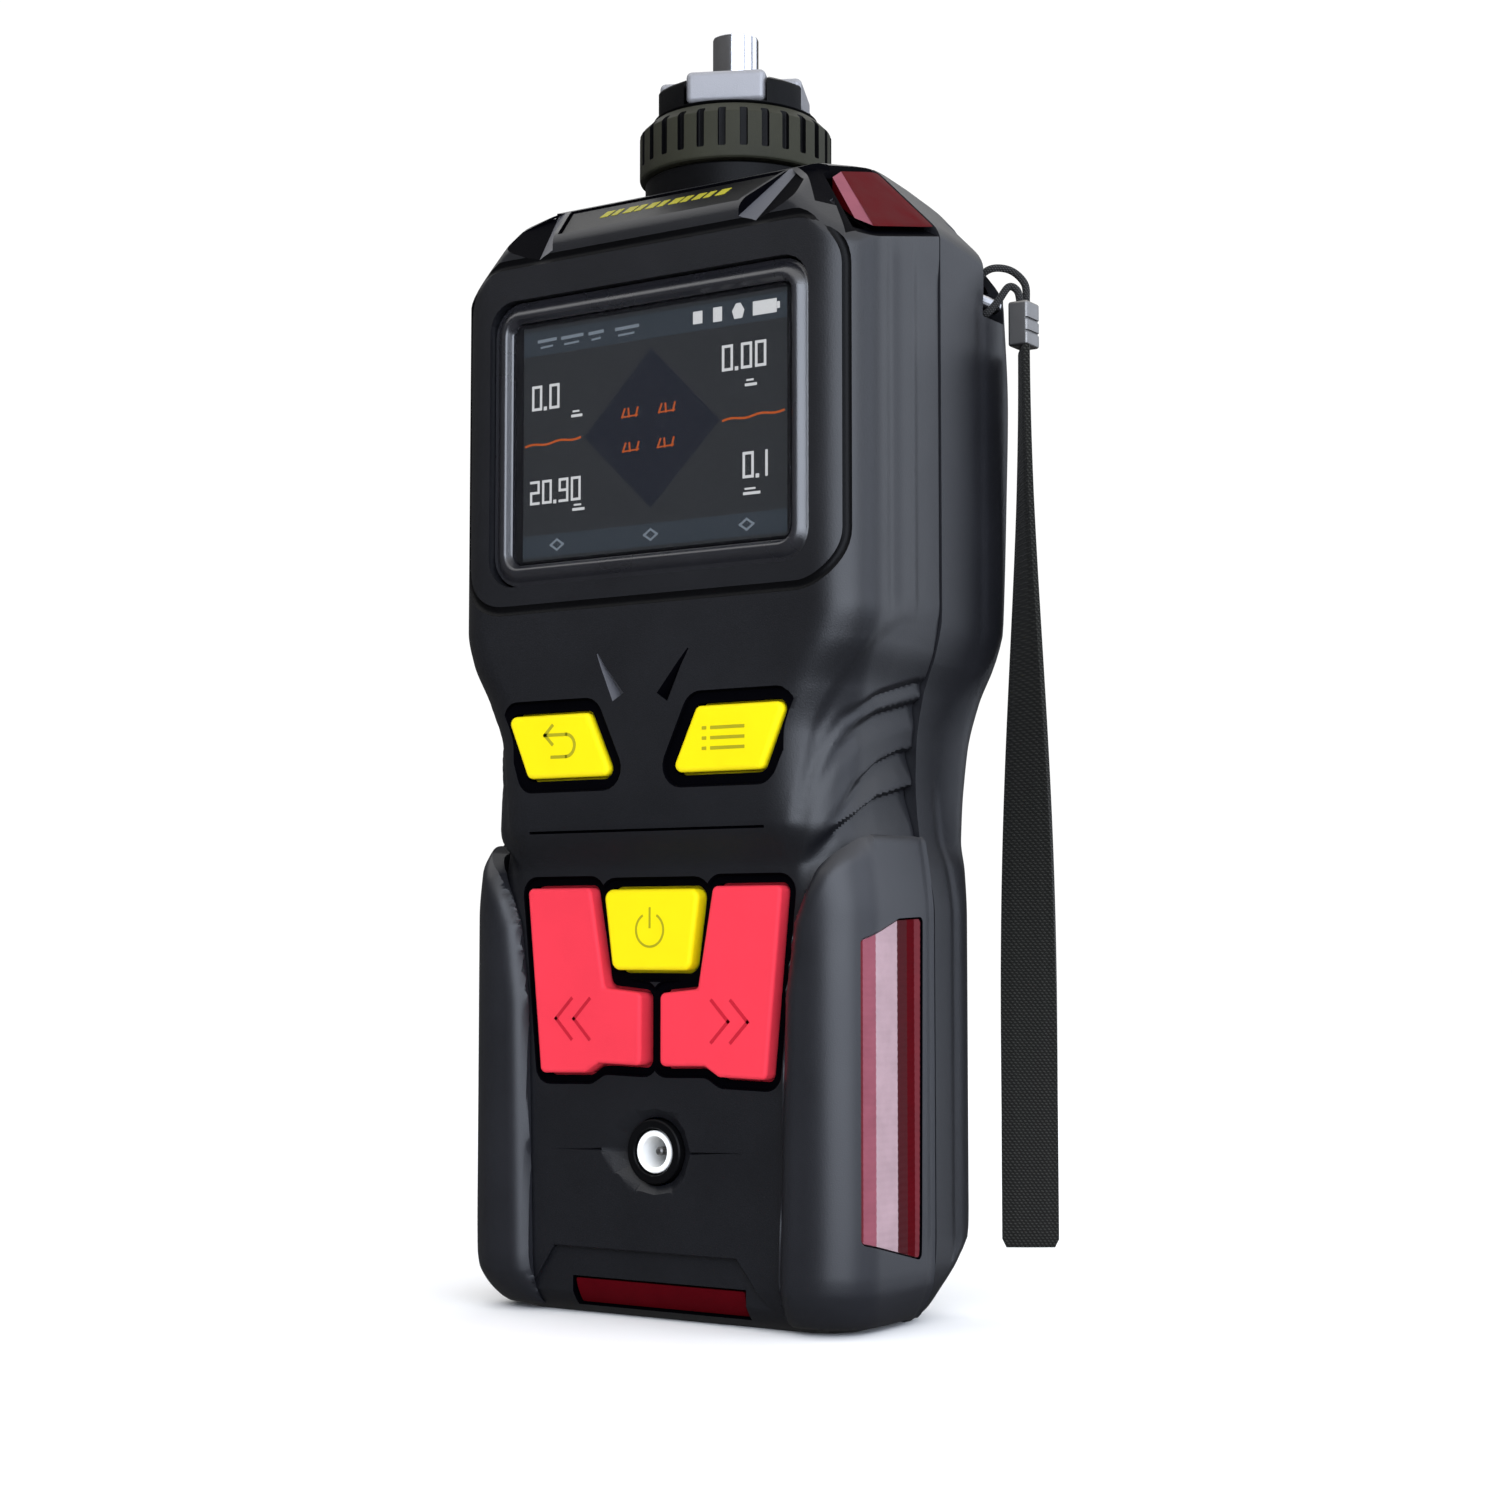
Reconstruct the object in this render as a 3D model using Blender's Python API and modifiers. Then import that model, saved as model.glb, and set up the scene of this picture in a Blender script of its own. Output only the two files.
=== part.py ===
"""Portable gas detector with a sampling inlet, five keys and a wrist strap.

The part stands on its base. The origin is in the base face, +X is the user's right, the
display faces -Y and +Z is up. Lengths are written in millimetres and built in metres.
"""
import math

import bmesh
import bpy
from mathutils import Matrix, Vector

MM = 0.001
GAP = 0.3                       # clearance between neighbouring solids

# Case halves
PARTING_Y = 1.0                 # plane where the two halves meet
WALL = 2.0                      # case wall
HEAD_FRONT_Y = -23.6
PANEL_FRONT_Y = -20.0           # lower key panel, between the grips
ARC_STEPS = 4

# Stations of the case: height, half width, face plane, corner radius
FRONT_STATIONS = [
    (0.0, 29.6, -15.4, 5.5), (1.6, 31.2, -17.8, 6.5), (4.5, 32.8, -19.5, 8.0), (6.5, 33.4, -19.9, 8.0),
    (9.0, 33.5, -20.0, 8.0), (16.0, 33.6, -20.0, 8.0), (60.0, 33.8, -20.0, 8.0), (67.0, 33.0, -20.3, 9.0), (73.6, 32.5, -23.3, 10.5),
    (80.0, 32.3, -23.6, 11.0), (86.0, 32.4, -23.6, 11.0), (93.0, 33.8, -23.6, 9.5), (100.0, 36.6, -23.6, 8.0),
    (105.0, 37.5, -23.6, 7.5), (180.0, 37.5, -23.6, 7.5)]
GRIP_STATIONS = [
    (0.0, 32.0, -16.4, 6.5), (1.6, 33.6, -19.2, 7.5), (4.5, 35.1, -21.6, 8.0), (6.5, 35.7, -22.3, 8.0),
    (9.0, 35.9, -22.5, 8.0), (16.0, 36.0, -22.5, 8.0), (60.0, 36.0, -22.5, 8.0), (67.0, 35.3, -22.9, 8.5),
    (72.0, 34.5, -23.2, 9.0), (76.0, 33.9, -23.6, 9.5),
    (80.0, 33.4, -23.6, 10.5)]
REAR_STATIONS = [
    (0.0, 30.6, 7.0, 5.0), (1.6, 32.6, 8.6, 6.5), (4.5, 34.6, 10.4, 8.0), (9.0, 35.8, 14.2, 8.0),
    (12.5, 36.0, 16.8, 8.0), (16.0, 36.0, 17.0, 8.0), (60.0, 36.0, 17.0, 8.0), (67.0, 35.0, 18.2, 8.0), (72.0, 33.4, 20.0, 8.0),
    (80.0, 32.8, 22.0, 8.0), (86.0, 33.0, 23.0, 8.0), (93.0, 34.2, 24.4, 8.0), (100.0, 36.6, 25.8, 8.0),
    (105.0, 37.5, 26.6, 8.0), (125.0, 37.5, 28.0, 8.0), (141.0, 37.5, 28.7, 8.0), (157.0, 37.5, 27.4, 8.0),
    (180.0, 37.5, 25.6, 8.0)]

# Roof planes, each through three points
ROOF_SLOPE = [(0.0, HEAD_FRONT_Y, 165.3), (10.0, HEAD_FRONT_Y, 165.3), (0.0, -14.5, 172.3)]
ROOF_FRONT = [(0.0, -14.5, 172.3), (10.0, -14.5, 172.3), (0.0, PARTING_Y, 175.4)]
ROOF_REAR = [(0.0, PARTING_Y, 175.4), (10.0, PARTING_Y, 175.4), (0.0, 14.0, 174.6)]
ROOF_BACK = [(0.0, 14.0, 174.6), (10.0, 14.0, 174.6), (0.0, 28.0, 169.0)]
CORNER_FRONT = [(37.5, -18.0, 159.2), (27.0, -18.0, 169.7), (37.5, -23.6, 154.0)]
SHOULDER_FRONT = [(37.5, -18.0, 159.2), (37.5, PARTING_Y, 163.8), (27.0, -18.0, 169.7)]
SHOULDER_REAR = [(37.5, PARTING_Y, 163.8), (37.5, 21.0, 161.6), (27.0, PARTING_Y, 174.3)]
SHOULDER_BACK = [(37.5, 15.6, 162.2), (37.5, 20.4, 158.4), (27.0, 15.6, 175.8)]

# Display
DISPLAY_Z = 133.6
BEZEL_HALF = (28.8, 21.8)
BEZEL_OPENING_HALF = (25.9, 19.1)
DISH_OUTER_HALF = (34.4, 27.4)
DISH_INNER_HALF = (30.6, 23.6)
DISH_DEPTH = 0.9

# Keys: outlines in X and Z, of the right-hand or the middle key
MENU_OUTLINE = [(9.7, 91.2), (26.1, 91.2), (21.7, 80.8), (4.9, 80.8)]
NEXT_OUTLINE = [(11.2, 64.4), (23.3, 64.4), (20.6, 36.3), (12.2, 36.5), (9.7, 38.0), (1.15, 37.8),
                (1.15, 48.6), (8.5, 49.3)]
POWER_OUTLINE = [(-8.8, 64.1), (8.8, 64.1), (7.1, 52.0), (-7.1, 52.0)]
KEY_GAP = 0.45
KEY_FLANGE = 0.9
UPPER_KEY_FACE_Y = -24.0
LOWER_KEY_FACE_Y = -21.4

# Sampling inlet
INLET_Y = 1.5
HUB_TURN = math.radians(25.5)   # direction that the front lug of the hub faces
RING_SLOTS = 28

# Turning pieces inside
PUMP_AXIS = (13.4, 10.0, 150.0)
WEIGHT_AXIS = (-8.4, 8.0, 84.0)

# Charging socket
SOCKET_Z = 25.1

# Strap
STRAP_X = 41.5
STRAP_Y = 20.5
PIN_X = 35.6
PIN_Y = 18.0
PIN_Z = 156.5
STRAP_WIDTH = 8.6
STRAP_THICKNESS = 1.3
STRAP_TOP_Z = 148.5
STRAP_TURN = (-56.6, 33.4)      # direction of the webbing's width at its top and at its bottom, degrees
STRAP_BOTTOM_Z = 9.8
CORD_END_Z = 153.6              # both ends of the cord, inside the clamp

for leftover in list(bpy.data.objects):
    bpy.data.objects.remove(leftover, do_unlink=True)

PARTS = bpy.data.collections.new("portable_gas_detector")
CUTTERS = bpy.data.collections.new("cutters")
bpy.context.scene.collection.children.link(PARTS)
bpy.context.scene.collection.children.link(CUTTERS)


# ---------------------------------------------------------------- materials
def material(name, colour, roughness, metallic=0.0):
    made = bpy.data.materials.new(name)
    made.use_nodes = True
    shader = made.node_tree.nodes["Principled BSDF"]
    shader.inputs["Base Color"].default_value = (*colour, 1.0)
    shader.inputs["Roughness"].default_value = roughness
    shader.inputs["Metallic"].default_value = metallic
    return made


CASE = material("case_plastic", (0.065, 0.068, 0.078), 0.5)
GRIP = material("grip_rubber", (0.08, 0.083, 0.095), 0.6)
BLACK = material("black_plastic", (0.012, 0.012, 0.013), 0.4)
SEAL = material("seal_rubber", (0.02, 0.02, 0.02), 0.8)
YELLOW = material("yellow_key", (0.9, 0.78, 0.02), 0.45)
RED = material("red_key", (0.85, 0.06, 0.1), 0.45)
LENS = material("red_lens", (0.8, 0.03, 0.06), 0.15)
WINDOW = material("clear_window", (0.1, 0.1, 0.11), 0.05)
SCREEN = material("display_module", (0.03, 0.035, 0.045), 0.3)
BOARD = material("circuit_board", (0.02, 0.13, 0.05), 0.5)
BATTERY = material("battery_wrap", (0.05, 0.12, 0.35), 0.5)
STEEL = material("steel", (0.6, 0.6, 0.62), 0.3, 1.0)
SATIN = material("satin_metal", (0.7, 0.7, 0.72), 0.35, 1.0)
CHROME = material("chrome", (0.85, 0.85, 0.87), 0.08, 1.0)
RING = material("ring_plastic", (0.14, 0.14, 0.11), 0.55)
FILTER = material("filter_felt", (0.85, 0.85, 0.82), 0.9)
TUBE = material("silicone_tube", (0.75, 0.75, 0.72), 0.5)
WEBBING = material("strap_webbing", (0.028, 0.028, 0.025), 0.85)


# ---------------------------------------------------------------- shapes
def add_object(name, bm, surface):
    """Turn a bmesh into an object whose faces point out."""
    bmesh.ops.recalc_face_normals(bm, faces=bm.faces[:])
    mesh = bpy.data.meshes.new(name)
    bm.to_mesh(mesh)
    bm.free()
    made = bpy.data.objects.new(name, mesh)
    PARTS.objects.link(made)
    if surface:
        mesh.materials.append(surface)
    return made


def as_cutter(cutter):
    """Move a shape to the cutters, where it only cuts or joins."""
    for owner in list(cutter.users_collection):
        owner.objects.unlink(cutter)
    CUTTERS.objects.link(cutter)
    cutter.hide_render = True
    cutter.display_type = "WIRE"


def combine(target, other, operation="DIFFERENCE"):
    """Cut a shape from the target, or join it to the target."""
    as_cutter(other)
    step = target.modifiers.new(f"{operation.lower()}_{other.name}", "BOOLEAN")
    step.operation = operation
    step.object = other


def block(name, low, high, surface=None, bevel=0.0):
    """A box between two corners, with bevelled edges where a width is given."""
    low = Vector(low) * MM
    high = Vector(high) * MM
    bm = bmesh.new()
    place = Matrix.Translation((low + high) / 2) @ Matrix.Diagonal((*(high - low), 1.0))
    bmesh.ops.create_cube(bm, size=1.0, matrix=place)
    if bevel:
        bmesh.ops.bevel(bm, geom=bm.edges[:], offset=bevel * MM, segments=2, affect="EDGES", profile=0.5)
    return add_object(name, bm, surface)


def rod(name, start, end, radius, surface=None, segments=24):
    """A cylinder between two points."""
    start = Vector(start) * MM
    end = Vector(end) * MM
    turn = Vector((0, 0, 1)).rotation_difference(end - start).to_matrix().to_4x4()
    bm = bmesh.new()
    bmesh.ops.create_cone(bm, cap_ends=True, segments=segments, radius1=radius * MM, radius2=radius * MM,
                          depth=(end - start).length, matrix=Matrix.Translation((start + end) / 2) @ turn)
    return add_object(name, bm, surface)


def turned(name, profile, centre, surface=None, steps=48, closed=False):
    """A profile of radius and height, listed from the top down its outer side, turned about Z."""
    bm = bmesh.new()
    points = [bm.verts.new((radius * MM, 0.0, height * MM)) for radius, height in profile]
    pairs = zip(points, points[1:] + points[:1] if closed else points[1:])
    for first, second in pairs:
        bm.edges.new((first, second))
    mesh = bpy.data.meshes.new(name)
    bm.to_mesh(mesh)
    bm.free()
    made = bpy.data.objects.new(name, mesh)
    made.location = Vector(centre) * MM
    PARTS.objects.link(made)
    screw = made.modifiers.new("turn", "SCREW")
    screw.steps = steps
    screw.render_steps = steps
    screw.use_merge_vertices = True
    screw.merge_threshold = 0.00001
    if surface:
        mesh.materials.append(surface)
    return made


def rounded(corners, radius, steps=3):
    """A closed outline with an arc at each corner."""
    outline = []
    count = len(corners)
    for index, corner in enumerate(corners):
        here = Vector(corner)
        back = (Vector(corners[index - 1]) - here).normalized()
        ahead = (Vector(corners[(index + 1) % count]) - here).normalized()
        half = back.angle(ahead) / 2
        centre = here + (back + ahead).normalized() * radius / math.sin(half)
        start = here + back * radius / math.tan(half) - centre
        end = here + ahead * radius / math.tan(half) - centre
        sweep = math.atan2(start.x * end.y - start.y * end.x, start.dot(end))
        for step in range(steps + 1):
            angle = sweep * step / steps
            turned_x = start.x * math.cos(angle) - start.y * math.sin(angle)
            turned_y = start.x * math.sin(angle) + start.y * math.cos(angle)
            outline.append((centre.x + turned_x, centre.y + turned_y))
    return outline


def grown(corners, distance):
    """The corners of an outline whose sides are all moved out by a distance."""
    count = len(corners)
    area = sum(corners[i - 1][0] * corners[i][1] - corners[i][0] * corners[i - 1][1] for i in range(count))
    turn = 1.0 if area > 0 else -1.0
    moved = []
    for index in range(count):
        here = Vector(corners[index])
        first = (here - Vector(corners[index - 1])).normalized()
        second = (Vector(corners[(index + 1) % count]) - here).normalized()
        normal_a = Vector((first.y, -first.x)) * turn
        normal_b = Vector((second.y, -second.x)) * turn
        middle = (normal_a + normal_b).normalized()
        moved.append(tuple(here + middle * distance / middle.dot(normal_a)))
    return moved


def mirrored(corners):
    return [(-x, z) for x, z in corners]


def rectangle(half_width, half_height, centre_x=0.0, centre_z=0.0):
    return [(centre_x - half_width, centre_z - half_height), (centre_x + half_width, centre_z - half_height),
            (centre_x + half_width, centre_z + half_height), (centre_x - half_width, centre_z + half_height)]


def loft(name, rings, surface=None):
    """A closed skin over rings of the same number of points, with flat ends."""
    bm = bmesh.new()
    rows = [[bm.verts.new(Vector(point) * MM) for point in ring] for ring in rings]
    for lower, upper in zip(rows, rows[1:]):
        for index in range(len(lower)):
            before = index - 1
            bm.faces.new((lower[before], lower[index], upper[index], upper[before]))
    bm.faces.new(rows[0])
    bm.faces.new(reversed(rows[-1]))
    return add_object(name, bm, surface)


def stack(name, layers, surface=None):
    """A loft through outlines in X and Z, each at its own Y."""
    return loft(name, [[(x, y, z) for x, z in outline] for outline, y in layers], surface)


def plate(name, outline, front, back, surface=None):
    """A flat outline in X and Z between two Y planes, made as a filled curve."""
    curve = bpy.data.curves.new(name, "CURVE")
    curve.dimensions = "2D"
    curve.fill_mode = "BOTH"
    curve.extrude = abs(back - front) / 2 * MM
    spline = curve.splines.new("POLY")
    spline.points.add(len(outline) - 1)
    for point, (x, z) in zip(spline.points, outline):
        point.co = (x * MM, z * MM, 0.0, 1.0)
    spline.use_cyclic_u = True
    guide = bpy.data.objects.new(name + "_outline", curve)
    PARTS.objects.link(guide)
    shape = guide.evaluated_get(bpy.context.evaluated_depsgraph_get())
    mesh = bpy.data.meshes.new_from_object(shape)
    bm = bmesh.new()
    bm.from_mesh(mesh)
    bmesh.ops.remove_doubles(bm, verts=bm.verts[:], dist=0.000001)
    upright = Matrix.Translation((0.0, (front + back) / 2 * MM, 0.0)) @ Matrix.Rotation(math.pi / 2, 4, "X")
    bmesh.ops.transform(bm, matrix=upright, verts=bm.verts[:])
    bpy.data.objects.remove(guide, do_unlink=True)
    return add_object(name, bm, surface)


def wire(name, points, radius, surface):
    """A round tube along points, as a curve with filled caps."""
    curve = bpy.data.curves.new(name, "CURVE")
    curve.dimensions = "3D"
    curve.bevel_depth = radius * MM
    curve.bevel_resolution = 2
    curve.use_fill_caps = True
    spline = curve.splines.new("POLY")
    spline.points.add(len(points) - 1)
    for point, place in zip(spline.points, points):
        point.co = (*(Vector(place) * MM), 1.0)
    made = bpy.data.objects.new(name, curve)
    PARTS.objects.link(made)
    curve.materials.append(surface)
    return made


def smooth_route(points, per_span=5):
    """Points along a smooth curve through a few route points."""
    route = [Vector(point) for point in points]
    padded = [2 * route[0] - route[1]] + route + [2 * route[-1] - route[-2]]
    places = []
    for index in range(len(route) - 1):
        before, start, end, after = padded[index:index + 4]
        for step in range(per_span):
            t = step / per_span
            square = (2 * before - 5 * start + 4 * end - after) * t * t
            cube = (3 * start - before - 3 * end + after) * t ** 3
            places.append(0.5 * (2 * start + (end - before) * t + square + cube))
    places.append(route[-1])
    return places


# ---------------------------------------------------------------- case
def station_at(stations, height):
    """Half width, face plane and corner radius at a height."""
    for low, high in zip(stations, stations[1:]):
        if height <= high[0]:
            part = (height - low[0]) / (high[0] - low[0])
            return [a + (b - a) * part for a, b in zip(low[1:], high[1:])]
    return list(stations[-1][1:])


def half_ring(stations, height, inset, end_y):
    """One level of a case half: from its open side round both corners, in from the surface by inset."""
    half_width, face_y, radius = station_at(stations, height)
    side = 1.0 if face_y > end_y else -1.0
    half_width -= inset
    face_y -= side * inset
    radius = max(radius - inset, 1.0)
    ring = [(-half_width, end_y, height)]
    for sign in (-1.0, 1.0):
        for step in range(ARC_STEPS + 1):
            angle = math.pi / 2 * step / ARC_STEPS
            if sign > 0:
                angle = math.pi / 2 - angle
            x = sign * (half_width - radius + radius * math.cos(angle))
            y = face_y - side * radius * (1 - math.sin(angle))
            ring.append((x, y, height))
    ring.append((half_width, end_y, height))
    return ring


def plane_through(points, mirror=False):
    """A point and an upward normal of the plane through three points."""
    a, b, c = (Vector(((-1 if mirror else 1) * x, y, z)) for x, y, z in points)
    normal = (b - a).cross(c - a).normalized()
    return a, normal if normal.z > 0 else -normal


def half_body(name, stations, roofs, inset, end_y, low=0.0, high=180.0):
    """A solid case half: levels skinned together, then cut by the roof planes."""
    heights = [low] + [row[0] for row in stations if low < row[0] < high] + [high]
    made = loft(name, [half_ring(stations, height, inset, end_y) for height in heights])
    bm = bmesh.new()
    bm.from_mesh(made.data)
    for point, normal in roofs:
        bmesh.ops.bisect_plane(bm, geom=bm.verts[:] + bm.edges[:] + bm.faces[:], dist=1e-8,
                               plane_co=(point - normal * inset) * MM, plane_no=normal, clear_outer=True)
        rim = [edge for edge in bm.edges if edge.is_boundary]
        bmesh.ops.holes_fill(bm, edges=rim, sides=0)
    bmesh.ops.recalc_face_normals(bm, faces=bm.faces[:])
    bm.to_mesh(made.data)
    bm.free()
    return made


FRONT_ROOFS = [plane_through(ROOF_SLOPE), plane_through(ROOF_FRONT),
               plane_through(SHOULDER_FRONT), plane_through(SHOULDER_FRONT, True),
               plane_through(CORNER_FRONT), plane_through(CORNER_FRONT, True)]
REAR_ROOFS = [plane_through(ROOF_REAR), plane_through(ROOF_BACK),
              plane_through(SHOULDER_REAR), plane_through(SHOULDER_REAR, True),
              plane_through(SHOULDER_BACK), plane_through(SHOULDER_BACK, True)]
SCREW_PLACES = [(sign * x, z) for x, z in ((30.4, 148.0), (27.0, 90.0), (26.4, 15.0)) for sign in (-1, 1)]
SCREW_HEAD_Y = {148.0: 24.6, 90.0: 20.4, 15.0: 13.0}
SCREW_POST_Y = {148.0: -21.0, 90.0: -18.5, 15.0: -17.0}
POST_END_DROP = 2.4             # from the underside of a screw head to the end of its post
INLET_HOLE_RADIUS = 14.8
TOP_LENS_OUTLINE = [(36.0, -19.4), (45.0, -19.4), (45.0, 3.0), (26.6, 3.0), (26.6, -12.8)]
TOP_LENS_FLOOR_Z = 158.8
TOP_LENS_FLOOR_SLOPE = (0.55, 0.23)  # rise for each mm inwards and backwards
LABEL_OUTLINE = [(-16.8, -22.7), (16.8, -22.7), (20.0, -15.2), (-20.0, -15.2)]
LABEL_DEPTH = 1.0
SIDE_LENS_OUTLINE = [(-18.2, 13.6), (-3.4, 10.2), (-2.8, 59.6), (-9.4, 59.3), (-18.2, 56.4)]


def cut_inlet_hole(shell, owner):
    """The round opening in the roof that the inlet neck passes through."""
    combine(shell, rod(f"inlet_hole_{owner}", (0, INLET_Y, 158), (0, INLET_Y, 182),
                       INLET_HOLE_RADIUS, segments=48))


def make_front_shell():
    shell = half_body("front_shell", FRONT_STATIONS, FRONT_ROOFS, 0.0, PARTING_Y - GAP / 2)
    shell.data.materials.append(CASE)
    combine(shell, half_body("front_cavity", FRONT_STATIONS, FRONT_ROOFS, WALL, PARTING_Y + 3, WALL, 179.0))
    for number, (x, z) in enumerate(SCREW_PLACES, 1):
        end = SCREW_HEAD_Y[z] - POST_END_DROP
        post = rod(f"screw_post_{number}", (x, SCREW_POST_Y[z], z), (x, end, z), 2.6, segments=12)
        combine(shell, post, "UNION")
        combine(shell, rod(f"screw_bore_{number}", (x, end - 9, z), (x, end + 1, z), 1.6, segments=12))
    dish = [(rounded(rectangle(*DISH_OUTER_HALF, 0, DISPLAY_Z), 9.0, 4), HEAD_FRONT_Y - 0.05),
            (rounded(rectangle(*DISH_INNER_HALF, 0, DISPLAY_Z), 5.2, 4), HEAD_FRONT_Y + DISH_DEPTH)]
    combine(shell, stack("display_dish", dish))
    opening = rounded(rectangle(BEZEL_HALF[0] + GAP, BEZEL_HALF[1] + GAP, 0, DISPLAY_Z), 4.3)
    combine(shell, plate("display_opening", opening, -26, HEAD_FRONT_Y + WALL + 0.1))
    for name, corners, radius in (("menu", MENU_OUTLINE, 1.6), ("back", mirrored(MENU_OUTLINE), 1.6),
                                  ("next", NEXT_OUTLINE, 0.9), ("previous", mirrored(NEXT_OUTLINE), 0.9),
                                  ("power", POWER_OUTLINE, 1.4)):
        hole = rounded(grown(corners, KEY_GAP), radius + KEY_GAP)
        combine(shell, plate(f"{name}_opening", hole, -26, -15))
    combine(shell, rod("socket_hole", (0, -24, SOCKET_Z), (0, -14, SOCKET_Z), 5.1, segments=32))
    cut_inlet_hole(shell, "front")
    for side, sign in (("left", -1), ("right", 1)):
        combine(shell, top_lens_space(f"top_lens_space_{side}", sign, 0.0))
        combine(shell, lens_recess(f"side_lens_recess_{side}", sign))
    combine(shell, block("bottom_lens_slot", (-15.6, -23, 1.4), (15.6, -16.6, 5.8)))
    combine(shell, label_space("label_space", 0.0))


def top_lens_space(name, sign, inset):
    """The corner of the head that a top alarm lens fills, as a cutter or, inset, as the lens itself."""
    outline = grown(TOP_LENS_OUTLINE, -inset)
    if inset:
        outline = [(x, min(y, PARTING_Y - GAP / 2 - inset)) for x, y in outline]
    inwards, backwards = TOP_LENS_FLOOR_SLOPE
    low = []
    for x, y in outline:
        rise = inwards * (37.5 - x) + backwards * (y - TOP_LENS_OUTLINE[0][1])
        low.append((sign * x, y, TOP_LENS_FLOOR_Z + inset + rise))
    return loft(name, [low, [(x, y, 185.0) for x, y, z in low]])


def lens_recess(name, sign):
    """A shallow seat in the case side, behind a side alarm lens."""
    near, far = sorted((sign * 33.0, sign * 36.0))
    return block(name, (near, -15.0, 11.0), (far, -2.4, 60.0))


def label_space(name, inset):
    """The slot in the front slope of the roof that holds the black label plate."""
    slope = (ROOF_SLOPE[2][2] - ROOF_SLOPE[0][2]) / (ROOF_SLOPE[2][1] - HEAD_FRONT_Y)
    rows = []
    outline = grown(LABEL_OUTLINE, -inset)
    for lift in (inset - LABEL_DEPTH, 6.0):
        rows.append([(x, y, ROOF_SLOPE[0][2] + slope * (y - HEAD_FRONT_Y) + lift) for x, y in outline])
    return loft(name, rows)


def make_top_label():
    """A black plate flush with the front slope of the roof."""
    plate_body = label_space("top_label", GAP)
    plate_body.data.materials.append(BLACK)
    ceiling = half_body("label_ceiling", FRONT_STATIONS, FRONT_ROOFS, 0.05, PARTING_Y - 2)
    combine(plate_body, ceiling, "INTERSECT")


def make_rear_shell():
    shell = half_body("rear_shell", REAR_STATIONS, REAR_ROOFS, 0.0, PARTING_Y + GAP / 2)
    shell.data.materials.append(CASE)
    combine(shell, half_body("rear_cavity", REAR_STATIONS, REAR_ROOFS, WALL, PARTING_Y - 3, WALL, 179.0))
    combine(shell, block("lanyard_block", (29.0, 12.4, 151.2), (36.4, 23.6, 158.6)), "UNION")
    combine(shell, block("lanyard_notch", (30.4, 14.8, 153.2), (40.0, 21.8, 170.0)))
    combine(shell, rod("lanyard_pin_bore", (PIN_X, 13.2, PIN_Z), (PIN_X, 23.3, PIN_Z), 1.3, segments=16))
    for number, (x, z) in enumerate(SCREW_PLACES, 1):
        head = SCREW_HEAD_Y[z]
        seat = rod(f"screw_seat_{number}", (x, head - 2.0, z), (x, head + 1.2, z), 4.2, segments=16)
        combine(shell, seat, "UNION")
        combine(shell, rod(f"screw_way_{number}", (x, head - 4, z), (x, head + 4, z), 1.8, segments=16))
        combine(shell, rod(f"screw_counterbore_{number}", (x, head, z), (x, head + 9, z), 3.1, segments=16))
    combine(shell, rod("exhaust_hole", (20, 20, 141), (20, 33, 141), 3.3, segments=24))
    cut_inlet_hole(shell, "rear")


def make_grips():
    """Rubber grips over the lower front corners, each with a window for its alarm lens."""
    inner_edge = [(22.4, 0.9), (23.6, 48.0), (24.4, 53.5), (25.1, 59.0), (26.9, 63.3), (29.4, 67.0),
                  (32.8, 70.2), (34.4, 72.2), (36.5, 74.0), (42.0, 75.0), (42.0, 0.9)]
    for side, sign in (("left", -1), ("right", 1)):
        end = PARTING_Y - GAP / 2
        grip = half_body(f"grip_pad_{side}", GRIP_STATIONS, [], 0.0, end, 0.9, 78.0)
        grip.data.materials.append(GRIP)
        outline = [(sign * x, z) for x, z in inner_edge]
        combine(grip, plate(f"grip_outline_{side}", outline, -30, end + 2), "INTERSECT")
        combine(grip, half_body(f"grip_core_{side}", FRONT_STATIONS, [], -GAP, end + 4, -1.0, 100.0))
        window = rounded(side_lens_outline(GAP), 0.8, 2)
        combine(grip, side_plate(f"lens_window_{side}", window, sign))


def side_lens_outline(growth):
    """The outline in Y and Z of a side alarm lens."""
    return grown(SIDE_LENS_OUTLINE, growth)


def side_plate(name, outline, sign):
    """An outline in Y and Z, extruded through one side of the case."""
    return loft(name, [[(sign * x, y, z) for y, z in outline] for x in (27.0, 42.0)])


def make_side_lenses():
    for side, sign in (("left", -1), ("right", 1)):
        lens = half_body(f"alarm_lens_side_{side}", GRIP_STATIONS, [], 0.0, PARTING_Y, 5.0, 70.0)
        lens.data.materials.append(LENS)
        combine(lens, side_plate(f"side_lens_outline_{side}", rounded(side_lens_outline(0.0), 0.6, 2), sign),
                "INTERSECT")
        combine(lens, half_body(f"side_lens_core_{side}", FRONT_STATIONS, [], -GAP, PARTING_Y + 2, 1.0, 90.0))


def make_top_lenses():
    for side, sign in (("left", -1), ("right", 1)):
        end = PARTING_Y - GAP / 2 - 0.05
        lens = half_body(f"alarm_lens_top_{side}", FRONT_STATIONS, FRONT_ROOFS, 0.1, end, 150.0, 179.0)
        lens.data.materials.append(LENS)
        combine(lens, top_lens_space(f"top_lens_outline_{side}", sign, GAP), "INTERSECT")


def make_bottom_lens():
    lens = half_body("alarm_lens_bottom", FRONT_STATIONS, [], 0.25, PARTING_Y - 2, 0.4, 12.0)
    lens.data.materials.append(LENS)
    combine(lens, block("bottom_lens_outline", (-15.3, -23, 1.7), (15.3, -16.9, 5.5)), "INTERSECT")


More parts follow.
